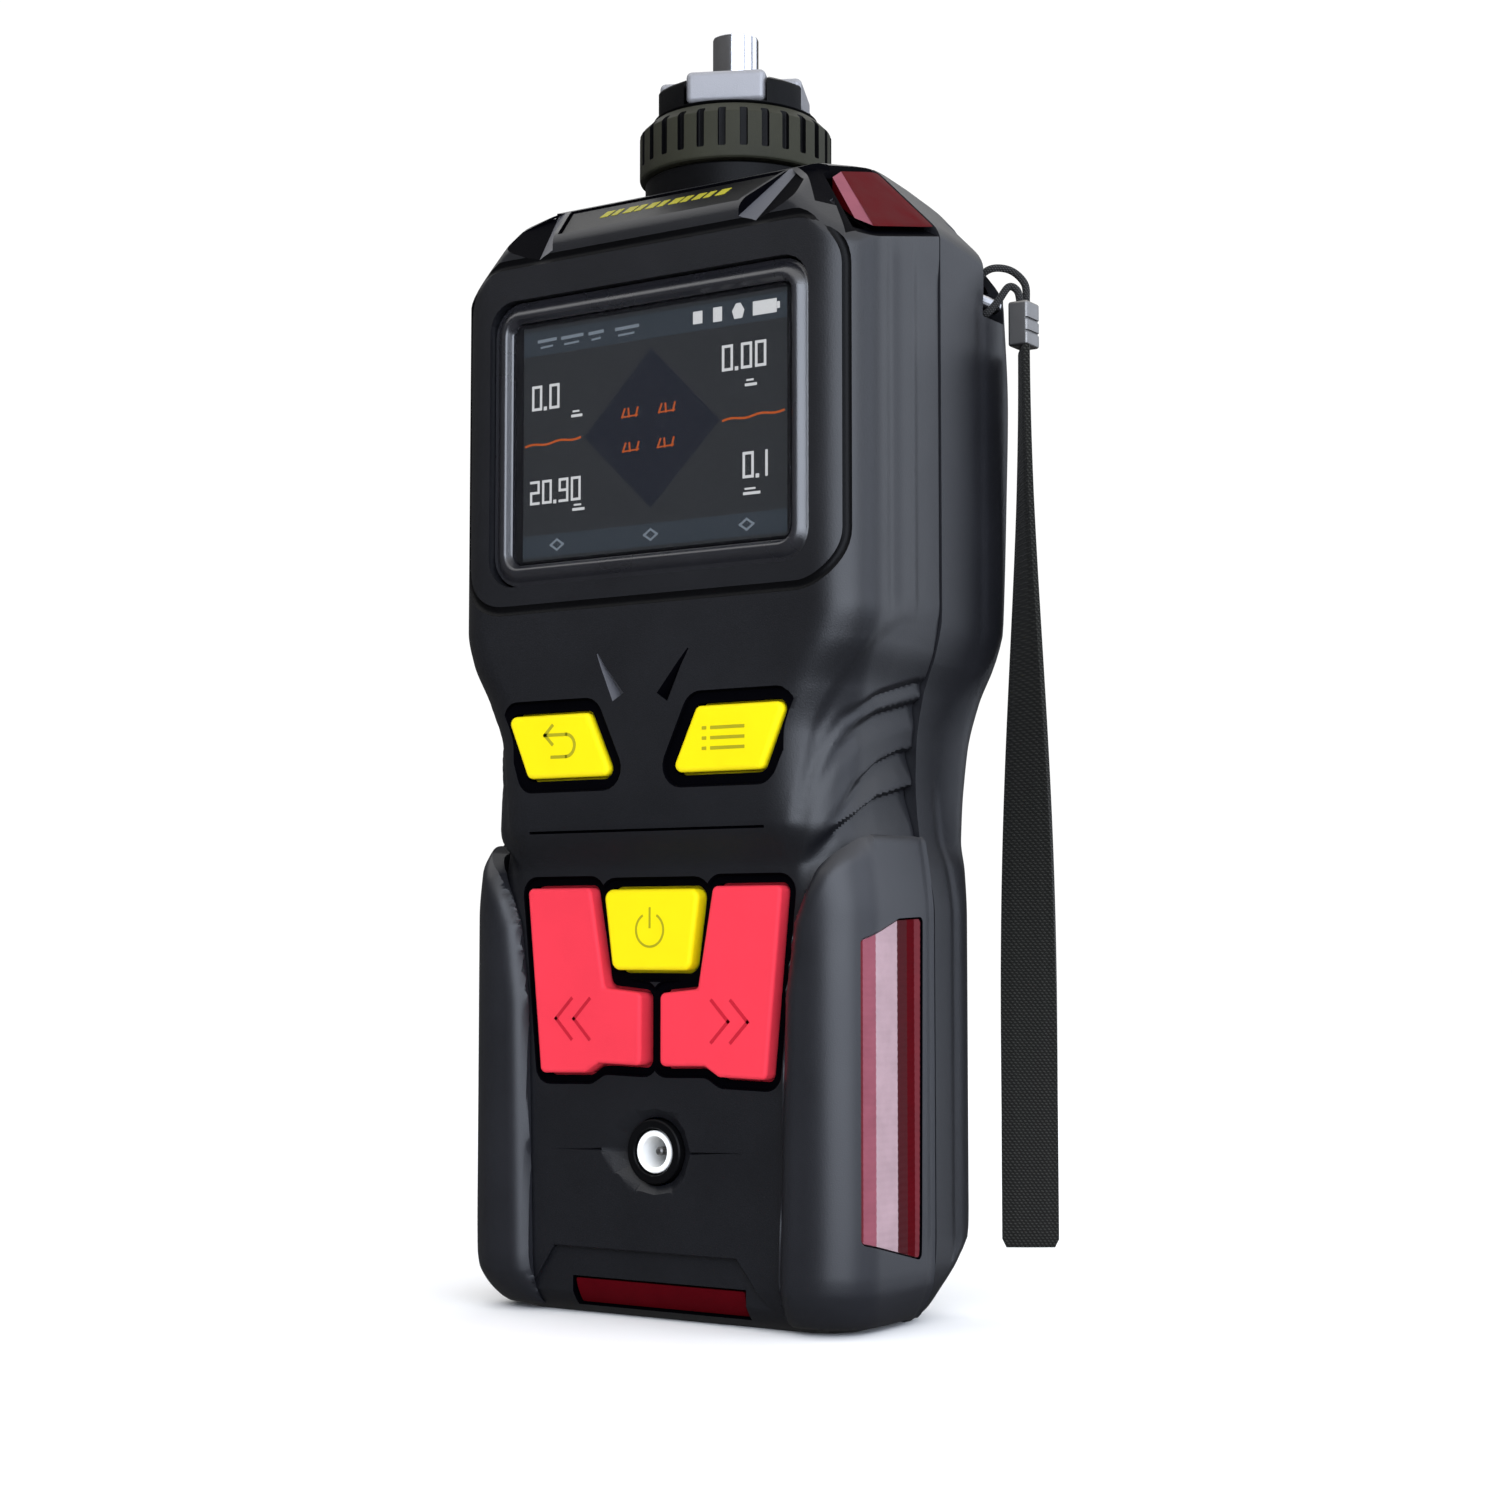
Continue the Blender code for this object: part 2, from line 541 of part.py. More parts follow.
def make_gasket():
    """A seal sleeve just inside the parting line, with the neck's gap left open at the top."""
    rings = []
    for inset, y in ((WALL + 0.4, -1.2), (WALL + 0.4, 3.2), (WALL + 1.2, 3.2), (WALL + 1.2, -1.2)):
        side = [(station_at(FRONT_STATIONS, z)[0] - inset, z)
                for z in (2.0 + inset, 9.0, 16.0, 60.0, 67.0, 73.6, 80.0, 86.0, 93.0, 100.0, 105.0, 156.0)]
        roof = [(27.0 - inset, 168.4 - inset), (20.0, 171.6 - inset)]
        path = side + roof
        outline = [(x, z) for x, z in path] + [(-x, z) for x, z in reversed(path)]
        rings.append([(x, y, z) for x, z in outline])
    bm = bmesh.new()
    rows = [[bm.verts.new(Vector(point) * MM) for point in ring] for ring in rings]
    for lower, upper in zip(rows, rows[1:] + rows[:1]):
        for index in range(len(lower)):
            bm.faces.new((lower[index - 1], lower[index], upper[index], upper[index - 1]))
    gasket = add_object("shell_gasket", bm, SEAL)
    combine(gasket, rod("gasket_neck_gap", (0, INLET_Y, 155), (0, INLET_Y, 185), 15.4, segments=32))


# ---------------------------------------------------------------- display
def make_display():
    outer = BEZEL_HALF
    inner = BEZEL_OPENING_HALF
    rings = [(rounded(rectangle(*outer, 0, DISPLAY_Z), 4.0), -21.7),
             (rounded(rectangle(*outer, 0, DISPLAY_Z), 4.0), -23.1),
             (rounded(rectangle(outer[0] - 0.5, outer[1] - 0.5, 0, DISPLAY_Z), 3.5), -23.5),
             (rounded(rectangle(*inner, 0, DISPLAY_Z), 1.8), -22.7),
             (rounded(rectangle(*inner, 0, DISPLAY_Z), 1.8), -21.7)]
    bm = bmesh.new()
    rows = [[bm.verts.new(Vector((x, y, z)) * MM) for x, z in outline] for outline, y in rings]
    for lower, upper in zip(rows, rows[1:] + rows[:1]):
        for index in range(len(lower)):
            bm.faces.new((lower[index - 1], lower[index], upper[index], upper[index - 1]))
    add_object("display_bezel", bm, CASE)
    window = rounded(rectangle(inner[0] - GAP, inner[1] - GAP, 0, DISPLAY_Z), 1.5)
    plate("display_window", window, -22.6, -21.7, WINDOW)
    block("lcd_module", (-27.3, -21.3, 112.8), (27.3, -18.4, 154.6), SCREEN, 0.3)


# ---------------------------------------------------------------- keys
def make_key(name, corners, radius, face_y, wall_back_y, surface):
    """A key cap that passes through the case wall, with a flange behind it."""
    body = rounded(corners, radius)
    crown = rounded(grown(corners, -0.5), max(radius - 0.5, 0.3))
    flange = rounded(grown(corners, KEY_FLANGE), radius + KEY_FLANGE)
    flange_y = wall_back_y + GAP
    stack(name, [(crown, face_y), (body, face_y + 0.45), (body, flange_y), (flange, flange_y),
                 (flange, flange_y + KEY_FLANGE)], surface)


def make_keys():
    upper_back = HEAD_FRONT_Y + WALL + 1.0
    lower_back = PANEL_FRONT_Y + WALL
    make_key("key_back", mirrored(MENU_OUTLINE), 1.6, UPPER_KEY_FACE_Y, upper_back, YELLOW)
    make_key("key_menu", MENU_OUTLINE, 1.6, UPPER_KEY_FACE_Y, upper_back, YELLOW)
    flush = [(x + (0.6 if x < 2 else 0.0), z) for x, z in NEXT_OUTLINE]
    make_key("key_next", flush, 0.9, LOWER_KEY_FACE_Y, lower_back, RED)
    make_key("key_previous", mirrored(flush), 0.9, LOWER_KEY_FACE_Y, lower_back, RED)
    make_key("key_power", POWER_OUTLINE, 1.4, LOWER_KEY_FACE_Y, lower_back, YELLOW)
    block("upper_keypad_mat", (-24.0, -18.3, 78.0), (24.0, -17.2, 94.0), SEAL, 0.2)
    block("lower_keypad_mat", (-25.0, -15.5, 35.0), (25.0, -14.4, 66.4), SEAL, 0.2)
    block("keypad_board", (-25.6, -14.0, 32.0), (25.6, -12.4, 68.0), BOARD, 0.2)


# ---------------------------------------------------------------- charging socket
def make_socket():
    profile = [(0.0, -7.0), (3.45, -7.0), (3.45, 0.4), (4.8, 0.4), (4.8, -9.0), (0.0, -9.0)]
    body = turned("charge_port", profile, (0, PANEL_FRONT_Y, SOCKET_Z), BLACK, 32)
    body.rotation_euler = (math.pi / 2, 0.0, 0.0)
    sleeve = turned("charge_sleeve", [(2.3, 0.2), (3.15, 0.2), (3.15, -6.6), (2.3, -6.6)],
                    (0, PANEL_FRONT_Y, SOCKET_Z), SATIN, 32, True)
    sleeve.rotation_euler = (math.pi / 2, 0.0, 0.0)
    rod("charge_pin", (0, PANEL_FRONT_Y + 6.6, SOCKET_Z), (0, PANEL_FRONT_Y + 1.0, SOCKET_Z), 0.65, SATIN, 12)


# ---------------------------------------------------------------- sampling inlet
def make_inlet():
    centre = (0, INLET_Y, 0)
    neck_profile = [(8.3, 179.6), (12.0, 179.6), (12.0, 176.4), (14.4, 176.4),
                    (14.4, 160.4), (2.0, 160.4), (2.0, 168.0), (8.3, 168.0)]
    turned("inlet_neck", neck_profile, centre, BLACK, 40, True)
    turned("inlet_o_ring", [(10.0 + 0.7 * math.cos(a), 180.6 + 0.7 * math.sin(a))
                            for a in (math.radians(90 - 60 * k) for k in range(6))], centre, SEAL, 24, True)
    rod("filter_disc", (0, INLET_Y, 174.0), (0, INLET_Y, 176.0), 7.9, FILTER, 32)
    ring_profile = [(11.2, 185.9), (13.5, 185.9), (15.3, 184.0), (15.3, 177.2), (15.0, 176.8),
                    (12.6, 176.8), (12.6, 183.3), (11.2, 183.3)]
    ring = turned("locking_ring", ring_profile, centre, RING, 2 * RING_SLOTS, True)
    for number in range(RING_SLOTS):
        angle = 2 * math.pi * number / RING_SLOTS
        slot = block(f"ring_slot_{number:02d}", (14.5, -0.55, 178.6), (17.0, 0.55, 184.9))
        slot.location = (0.0, INLET_Y * MM, 0.0)
        slot.rotation_euler = (0.0, 0.0, angle)
        combine(ring, slot)
    cap = turned("filter_cap", [(0.0, 191.3), (10.9, 191.3), (13.1, 190.1), (13.1, 186.2), (10.8, 186.2),
                                (10.8, 183.0), (12.2, 183.0), (12.2, 181.6), (3.0, 181.6), (3.0, 186.0),
                                (0.0, 186.0)], centre, BLACK, 36)
    combine(cap, hub_cross("hub_slots", 6.25 + GAP, 15.0, 186.8 - GAP, 200.0))
    hub = hub_cross("filter_collar", 6.25, 11.3, 186.8, 191.9)
    hub.data.materials.append(SATIN)
    turned("nozzle", [(0.0, 197.0), (1.6, 197.0), (1.6, 200.6), (3.3, 200.6), (3.65, 200.2), (3.65, 192.2),
                      (0.0, 192.2)], centre, CHROME, 32)


def hub_cross(name, half_width, reach, low, high):
    """Two crossing bars, turned so that one end faces the front right."""
    a, b = half_width, reach
    corners = [(b, -a), (b, a), (a, a), (a, b), (-a, b), (-a, a), (-b, a), (-b, -a), (-a, -a), (-a, -b),
               (a, -b), (a, -a)]
    place = Matrix.Rotation(HUB_TURN, 2)
    outline = [place @ Vector(corner) for corner in corners]
    return loft(name, [[(point.x, point.y + INLET_Y, z) for point in outline] for z in (low, high)])


# ---------------------------------------------------------------- inside
def make_boards_and_power():
    board = block("main_board", (-26.5, -14.0, 98.0), (26.5, -12.4, 157.0), BOARD, 0.2)
    chips = [((-16, -12.6, 104), (-4, -11.0, 116)), ((4, -12.6, 122), (12, -11.2, 130)),
             ((-26, -12.6, 136), (-14, -9.8, 142))]
    for number, (low, high) in enumerate(chips, 1):
        combine(board, block(f"board_chip_{number}", low, high), "UNION")
    block("battery_pack", (-22.5, -8.0, 8.0), (22.5, 10.6, 66.0), BATTERY, 1.2)
    for side, sign in (("left", -1), ("right", 1)):
        near, far = sorted((sign * 29.6, sign * 30.8))
        block(f"led_board_{side}", (near, -13.0, 20.0), (far, -5.0, 56.0), BOARD, 0.15)
    rod("buzzer", (-19, 6.0, 148.5), (-19, 14.0, 148.5), 6.5, BLACK, 24)


def make_gas_path():
    manifold = block("sensor_manifold", (-22.5, -2.0, 99.0), (22.5, 3.2, 139.0), BLACK, 0.8)
    combine(manifold, rod("manifold_port", (0, 0.6, 138), (0, 0.6, 142), 2.4, segments=16), "UNION")
    number = 0
    for z in (109.0, 129.0):
        for x in (-11.0, 11.0):
            number += 1
            rod(f"gas_sensor_{number}", (x, 3.5, z), (x, 19.5, z), 9.6, SATIN, 28)
    tube_route = smooth_route([(0, 1.5, 160.0), (0, 1.6, 156.0), (0, 1.1, 149.0), (0, 0.6, 142.4)], 3)
    wire("inlet_tube", tube_route, 1.9, TUBE)
    rod("pump_motor", (16.6, 10, 150.0), (27.0, 10, 150.0), 4.9, STEEL, 24)
    head = block("pump_head", (3.2, 4.0, 143.6), (12.4, 16.0, 157.0), BLACK, 0.8)
    combine(head, rod("pump_cam_space", (10.0, 10, 150), (14.0, 10, 150), 4.2, segments=24))
    cam = rod("pump_eccentric", (-2.8, 0.7, 0), (2.8, 0.7, 0), 2.9, SATIN, 20)
    cam.location = Vector(PUMP_AXIS) * MM
    cover_profile = [(0.0, 1.6), (2.6, 1.6), (3.0, 1.2), (3.0, -2.0), (0.0, -2.0)]
    cover = turned("exhaust_port", cover_profile, (20, 27.6, 141), BLACK, 24)
    cover.rotation_euler = (-math.pi / 2, 0.0, 0.0)


def make_vibration_motor():
    rod("vibration_motor", (-22.0, 8.0, 84.0), (-11.0, 8.0, 84.0), 3.5, STEEL, 20)
    weight = turned("vibration_weight", [(0.0, 2.0), (3.4, 2.0), (3.4, -2.0), (0.0, -2.0)], WEIGHT_AXIS,
                    STEEL, 24)
    weight.rotation_euler = (0.0, math.pi / 2, 0.0)
    combine(weight, block("weight_cut", (-12.0, 2.0, 84.9), (-4.0, 14.0, 90.0)))


def make_screws():
    for number, (x, z) in enumerate(SCREW_PLACES, 1):
        head = SCREW_HEAD_Y[z]
        screw = turned(f"case_screw_{number}", [(0.0, 2.3), (2.3, 2.3), (2.8, 1.8), (2.8, 0.3), (1.3, 0.3),
                                                (1.3, -9.0), (0.0, -9.6)], (x, head, z), STEEL, 16)
        screw.rotation_euler = (-math.pi / 2, 0.0, 0.0)
        socket = rod(f"hex_socket_{number}", (x, head + 1.0, z), (x, head + 4.0, z), 1.3, segments=6)
        combine(screw, socket)


# ---------------------------------------------------------------- strap
def cord_route():
    """The loop of cord: up from the clamp, over the pin and down into the clamp again."""
    outer = [(STRAP_X, 0.9, CORD_END_Z), (STRAP_X, 0.9, 156.2), (STRAP_X - 0.2, 0.8, 159.2),
             (39.3, 0.7, 161.4), (36.7, 0.6, 161.6), (34.2, 0.5, 159.8), (33.3, 0.2, PIN_Z)]
    inner = [(34.4, -0.2, PIN_Z - 2.1), (36.5, -0.5, PIN_Z - 2.2), (38.2, -0.7, PIN_Z - 0.4),
             (39.6, -0.8, 158.4), (40.8, -0.9, 157.9), (STRAP_X - 0.2, -0.9, 156.2),
             (STRAP_X, -0.9, CORD_END_Z)]
    route = []
    for x, y, z in outer + inner:
        share = min(max((x - 37.0) / 3.5, 0.0), 1.0)
        route.append((x, PIN_Y + (STRAP_Y - PIN_Y) * share + y, z))
    return route


def make_strap():
    rod("lanyard_pin", (PIN_X, 13.5, PIN_Z), (PIN_X, 23.0, PIN_Z), 1.0, STEEL, 16)
    wire("lanyard_cord", smooth_route(cord_route(), 3), 0.6, WEBBING)
    clamp_low = (STRAP_X - 1.7, STRAP_Y - 2.2, 148.8)
    clamp_high = (STRAP_X + 1.7, STRAP_Y + 2.2, 155.9)
    clamp = block("lanyard_clamp", clamp_low, clamp_high, SATIN, 0.4)
    mouth_low = (STRAP_X - 1.0, STRAP_Y - 1.7, CORD_END_Z - GAP)
    mouth_high = (STRAP_X + 1.0, STRAP_Y + 1.7, 157.0)
    combine(clamp, block("clamp_mouth", mouth_low, mouth_high))
    rings = []
    steps = 12
    for step in range(steps + 1):
        share = step / steps
        height = STRAP_TOP_Z + (STRAP_BOTTOM_Z - STRAP_TOP_Z) * share
        eased = share * share * (3 - 2 * share)
        turn = math.radians(STRAP_TURN[0] + (STRAP_TURN[1] - STRAP_TURN[0]) * eased)
        along = Vector((math.cos(turn), math.sin(turn)))
        across = Vector((-along.y, along.x))
        half = STRAP_WIDTH / 2
        if share > 0.97:
            half -= 0.8
        corners = [along * sx * half + across * sy * STRAP_THICKNESS / 2
                   for sx, sy in ((-1, -1), (1, -1), (1, 1), (-1, 1))]
        rings.append([(STRAP_X + c.x, STRAP_Y + c.y, height) for c in corners])
    loft("wrist_strap", rings, WEBBING)


make_front_shell()
make_rear_shell()
make_gasket()
make_grips()
make_side_lenses()
make_top_lenses()
make_bottom_lens()
make_top_label()
make_display()
make_keys()
make_socket()
make_inlet()
make_boards_and_power()
make_gas_path()
make_vibration_motor()
make_screws()
make_strap()
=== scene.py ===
import math

import bmesh
import bpy
from mathutils import Matrix, Vector


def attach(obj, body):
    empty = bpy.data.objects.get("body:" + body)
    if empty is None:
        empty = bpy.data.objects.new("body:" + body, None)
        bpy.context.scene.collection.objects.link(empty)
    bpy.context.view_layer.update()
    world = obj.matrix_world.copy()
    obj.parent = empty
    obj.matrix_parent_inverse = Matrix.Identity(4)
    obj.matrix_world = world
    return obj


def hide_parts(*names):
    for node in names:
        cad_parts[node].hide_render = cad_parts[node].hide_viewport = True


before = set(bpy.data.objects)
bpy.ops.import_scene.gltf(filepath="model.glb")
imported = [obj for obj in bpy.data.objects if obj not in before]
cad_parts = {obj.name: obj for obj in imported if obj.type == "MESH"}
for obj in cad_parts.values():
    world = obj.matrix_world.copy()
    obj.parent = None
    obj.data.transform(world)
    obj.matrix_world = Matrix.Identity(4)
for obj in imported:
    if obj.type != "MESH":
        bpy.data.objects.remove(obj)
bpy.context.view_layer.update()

# Lengths are in millimetres and scaled by MM where a mesh is made
MM = 0.001
GAP = 0.3
PARTING_Y = 1.0
WALL = 2.0
HEAD_FRONT_Y = -23.6
PANEL_FRONT_Y = -20.0
DISPLAY_Z = 133.6
SOCKET_Z = 25.1
INLET_Y = 1.5
HUB_TURN = math.radians(25.5)

# Stations of the case: height, half width, face plane, corner radius
FRONT_STATIONS = [
    (0.0, 29.6, -15.4, 5.5), (1.6, 31.2, -17.8, 6.5), (4.5, 32.8, -19.5, 8.0), (6.5, 33.4, -19.9, 8.0),
    (9.0, 33.5, -20.0, 8.0), (16.0, 33.6, -20.0, 8.0), (60.0, 33.8, -20.0, 8.0), (67.0, 33.0, -20.3, 9.0),
    (73.6, 32.5, -23.3, 10.5), (80.0, 32.3, -23.6, 11.0), (86.0, 32.4, -23.6, 11.0), (93.0, 33.8, -23.6, 9.5),
    (100.0, 36.6, -23.6, 8.0), (105.0, 37.5, -23.6, 7.5), (180.0, 37.5, -23.6, 7.5)]
GRIP_STATIONS = [
    (0.0, 32.0, -16.4, 6.5), (1.6, 33.6, -19.2, 7.5), (4.5, 35.1, -21.6, 8.0), (6.5, 35.7, -22.3, 8.0),
    (9.0, 35.9, -22.5, 8.0), (16.0, 36.0, -22.5, 8.0), (60.0, 36.0, -22.5, 8.0), (67.0, 35.3, -22.9, 8.5),
    (72.0, 34.5, -23.2, 9.0), (76.0, 33.9, -23.6, 9.5), (80.0, 33.4, -23.6, 10.5)]
REAR_STATIONS = [
    (0.0, 30.6, 7.0, 5.0), (1.6, 32.6, 8.6, 6.5), (4.5, 34.6, 10.4, 8.0), (9.0, 35.8, 14.2, 8.0),
    (12.5, 36.0, 16.8, 8.0), (16.0, 36.0, 17.0, 8.0), (60.0, 36.0, 17.0, 8.0), (67.0, 35.0, 18.2, 8.0),
    (72.0, 33.4, 20.0, 8.0), (80.0, 32.8, 22.0, 8.0), (86.0, 33.0, 23.0, 8.0), (93.0, 34.2, 24.4, 8.0),
    (100.0, 36.6, 25.8, 8.0), (105.0, 37.5, 26.6, 8.0), (125.0, 37.5, 28.0, 8.0), (141.0, 37.5, 28.7, 8.0),
    (157.0, 37.5, 27.4, 8.0), (180.0, 37.5, 25.6, 8.0)]

# The roof's planes, each through three points of the right half
ROOF_SLOPE = [(0.0, HEAD_FRONT_Y, 165.3), (10.0, HEAD_FRONT_Y, 165.3), (0.0, -14.5, 172.3)]
ROOF_FRONT = [(0.0, -14.5, 172.3), (10.0, -14.5, 172.3), (0.0, PARTING_Y, 175.4)]
ROOF_REAR = [(0.0, PARTING_Y, 175.4), (10.0, PARTING_Y, 175.4), (0.0, 14.0, 174.6)]
ROOF_BACK = [(0.0, 14.0, 174.6), (10.0, 14.0, 174.6), (0.0, 28.0, 169.0)]
CORNER_FRONT = [(37.5, -18.0, 159.2), (27.0, -18.0, 169.7), (37.5, -23.6, 154.0)]
SHOULDER_FRONT = [(37.5, -18.0, 159.2), (37.5, PARTING_Y, 163.8), (27.0, -18.0, 169.7)]
SHOULDER_REAR = [(37.5, PARTING_Y, 163.8), (37.5, 21.0, 161.6), (27.0, PARTING_Y, 174.3)]
SHOULDER_BACK = [(37.5, 15.6, 162.2), (37.5, 20.4, 158.4), (27.0, 15.6, 175.8)]
ROOF_PLANES = (ROOF_SLOPE, ROOF_FRONT, ROOF_REAR, ROOF_BACK, CORNER_FRONT, SHOULDER_FRONT, SHOULDER_REAR,
               SHOULDER_BACK)
SIDES = (("left", -1), ("right", 1))

BEZEL_HALF = (28.8, 21.8)
BEZEL_OPENING_HALF = (25.9, 19.1)

MENU_OUTLINE = [(9.7, 91.2), (26.1, 91.2), (21.7, 80.8), (4.9, 80.8)]
NEXT_OUTLINE = [(11.2, 64.4), (23.3, 64.4), (20.6, 36.3), (12.2, 36.5), (9.7, 38.0), (1.75, 37.8),
                (1.75, 48.6), (8.5, 49.3)]
NEXT_OPENING = [(11.2, 64.4), (23.3, 64.4), (20.6, 36.3), (12.2, 36.5), (9.7, 38.0), (1.15, 37.8),
                (1.15, 48.6), (8.5, 49.3)]
POWER_OUTLINE = [(-8.8, 64.1), (8.8, 64.1), (7.1, 52.0), (-7.1, 52.0)]
SIDE_LENS_OUTLINE = [(-18.2, 13.6), (-3.4, 10.2), (-2.8, 59.6), (-9.4, 59.3), (-18.2, 56.4)]
LABEL_OUTLINE = [(-16.8, -22.7), (16.8, -22.7), (20.0, -15.2), (-20.0, -15.2)]
TOP_LENS_OUTLINE = [(36.0, -19.4), (45.0, -19.4), (45.0, 3.0), (26.6, 3.0), (26.6, -12.8)]

STRAP_X = 41.5
STRAP_Y = 20.5
PIN_X = 35.6
PIN_Y = 18.0
PIN_Z = 156.5
STRAP_WIDTH = 8.6
STRAP_TOP_Z = 148.5
STRAP_BOTTOM_Z = 9.8
STRAP_TURN = (-56.6, 33.4)
CORD_END_Z = 153.6
CORD_WIDTH = 1.2

# ---------------------------------------------------------------- camera
CAMERA_PLACE = (225.89, -335.23, 55.84)
CAMERA_AZIMUTH = 33.396
CAMERA_ELEVATION = -4.166
CAMERA_LENS = 61.58


def linked(made):
    bpy.context.scene.collection.objects.link(made)
    return made


def make_camera():
    azimuth = math.radians(CAMERA_AZIMUTH)
    elevation = math.radians(CAMERA_ELEVATION)
    back = Vector((math.sin(azimuth) * math.cos(elevation), -math.cos(azimuth) * math.cos(elevation),
                   math.sin(elevation)))
    camera = bpy.data.objects.new("camera", bpy.data.cameras.new("camera"))
    camera.data.sensor_width = 36.0
    camera.data.lens = CAMERA_LENS
    camera.data.clip_start = 0.01
    camera.data.clip_end = 100.0
    camera.location = Vector(CAMERA_PLACE) * MM
    camera.rotation_mode = "QUATERNION"
    camera.rotation_quaternion = (-back).to_track_quat("-Z", "Y")
    bpy.context.scene.camera = linked(camera)


make_camera()


# ---------------------------------------------------------------- materials
def linear(code):
    """A #rrggbb colour as linear values."""
    parts = [int(code[i:i + 2], 16) / 255 for i in (1, 3, 5)]
    return tuple(c / 12.92 if c <= 0.04045 else ((c + 0.055) / 1.055) ** 2.4 for c in parts)


class Graph:
    """A material's nodes, made and joined in a few words."""

    def __init__(self, name):
        self.material = bpy.data.materials.new(name)
        self.material.use_nodes = True
        self.tree = self.material.node_tree
        self.shader = self.tree.nodes["Principled BSDF"]

    def fill(self, node, inputs):
        """Sets a node's inputs to values, or joins them to other nodes' outputs."""
        for key, value in inputs.items():
            if isinstance(value, bpy.types.NodeSocket):
                self.tree.links.new(value, node.inputs[key])
            else:
                node.inputs[key].default_value = value

    def node(self, kind, inputs, **settings):
        made = self.tree.nodes.new(kind)
        for key, value in settings.items():
            setattr(made, key, value)
        self.fill(made, inputs)
        return made

    def coordinates(self, scale=(1.0, 1.0, 1.0)):
        place = self.node("ShaderNodeTexCoord", {})
        mapping = self.node("ShaderNodeMapping", {"Vector": place.outputs["Object"], "Scale": scale})
        return mapping.outputs["Vector"]

    def noise(self, vector, scale, detail=3.0, roughness=0.55):
        made = self.node("ShaderNodeTexNoise",
                         {"Vector": vector, "Scale": scale, "Detail": detail, "Roughness": roughness})
        return made.outputs["Fac"]

    def ramp(self, factor, start, dark, end, light):
        """A colour that goes from dark to light as the factor goes from start to end."""
        made = self.node("ShaderNodeValToRGB", {"Fac": factor})
        for point, place, colour in zip(made.color_ramp.elements, (start, end), (dark, light)):
            point.position = place
            point.color = (*colour, 1.0)
        return made.outputs["Color"]

    def span(self, factor, low, high):
        return self.node("ShaderNodeMapRange", {"Value": factor, "To Min": low, "To Max": high}).outputs["Result"]

    def bump(self, height, strength, distance):
        made = self.node("ShaderNodeBump", {"Height": height, "Strength": strength, "Distance": distance})
        return made.outputs["Normal"]

    def finished(self, colour, roughness, normal, **more):
        """Fills the shader. Further inputs are named in lower case, with underscores for spaces."""
        named = {key.replace("_", " ").title().replace("Ior", "IOR"): value for key, value in more.items()}
        self.fill(self.shader, {"Base Color": colour, "Roughness": roughness, "Normal": normal, **named})
        return self.material


def shaded(colour, factor):
    return tuple(min(1.0, c * factor) for c in colour)


def moulded(name, colour, roughness, variation=0.12, grain=0.00004, grain_scale=5200.0, specular=0.5, metallic=0.0):
    """Moulded plastic or rubber: fine grain, slight cloudiness of colour and gloss."""
    graph = Graph(name)
    vector = graph.coordinates()
    cloud = graph.noise(vector, 70.0, 4.0)
    fine = graph.noise(vector, grain_scale, 2.0)
    return graph.finished(graph.ramp(cloud, 0.3, shaded(colour, 1 - variation), 0.7, shaded(colour, 1 + variation)),
                          graph.span(cloud, roughness - 0.05, roughness + 0.05), graph.bump(fine, 0.6, grain),
                          specular_ior_level=specular, metallic=metallic)


def metal(name, colour, roughness, stretch=(1.0, 1.0, 1.0), scratch=0.00002):
    """Metal with fine directional marks."""
    graph = Graph(name)
    marks = graph.noise(graph.coordinates(stretch), 900.0, 5.0, 0.7)
    cloud = graph.noise(graph.coordinates(), 160.0)
    return graph.finished(graph.ramp(cloud, 0.3, shaded(colour, 0.92), 0.7, colour),
                          graph.span(marks, roughness * 0.75, roughness * 1.3), graph.bump(marks, 0.5, scratch),
                          metallic=1.0)


def glowing(name, colour, strength):
    """A lit part of the display, with the faint grain of its dots."""
    graph = Graph(name)
    dots = graph.noise(graph.coordinates(), 6000.0, 1.0)
    return graph.finished(graph.ramp(dots, 0.2, (0.004, 0.004, 0.005), 0.8, (0.008, 0.008, 0.01)),
                          graph.span(dots, 0.38, 0.46), graph.bump(dots, 0.2, 0.00001),
                          emission_color=graph.ramp(dots, 0.2, shaded(colour, 0.86), 0.8, colour),
                          emission_strength=strength)


def woven(name, dark, light, thread=0.00045):
    """Webbing: crossed threads, their crowns lighter as a painted highlight and the hollows darker as painted shade."""
    graph = Graph(name)
    vector = graph.coordinates()
    wave = {"Vector": vector, "Scale": 0.32 / thread, "Distortion": 1.2, "Detail": 1.0}
    along_z, slanting = (graph.node("ShaderNodeTexWave", wave, wave_type="BANDS", bands_direction=direction)
                         for direction in ("Z", "DIAGONAL"))
    crossed = graph.node("ShaderNodeMath", {0: along_z.outputs["Fac"], 1: slanting.outputs["Fac"]},
                         operation="MULTIPLY").outputs["Value"]
    return graph.finished(graph.ramp(crossed, 0.1, dark, 0.8, light), graph.span(crossed, 0.95, 0.7),
                          graph.bump(crossed, 0.7, 0.00012), sheen_weight=0.05, specular_ior_level=0.15)


def tinted(name, colour, roughness, specular, alpha=1.0):
    """Clear tinted plastic or glass."""
    graph = Graph(name)
    cloud = graph.noise(graph.coordinates(), 240.0)
    return graph.finished(graph.ramp(cloud, 0.3, shaded(colour, 0.85), 0.7, colour),
                          graph.span(cloud, roughness * 0.8, roughness * 1.3), graph.bump(cloud, 0.15, 0.00003),
                          specular_ior_level=specular, alpha=alpha)


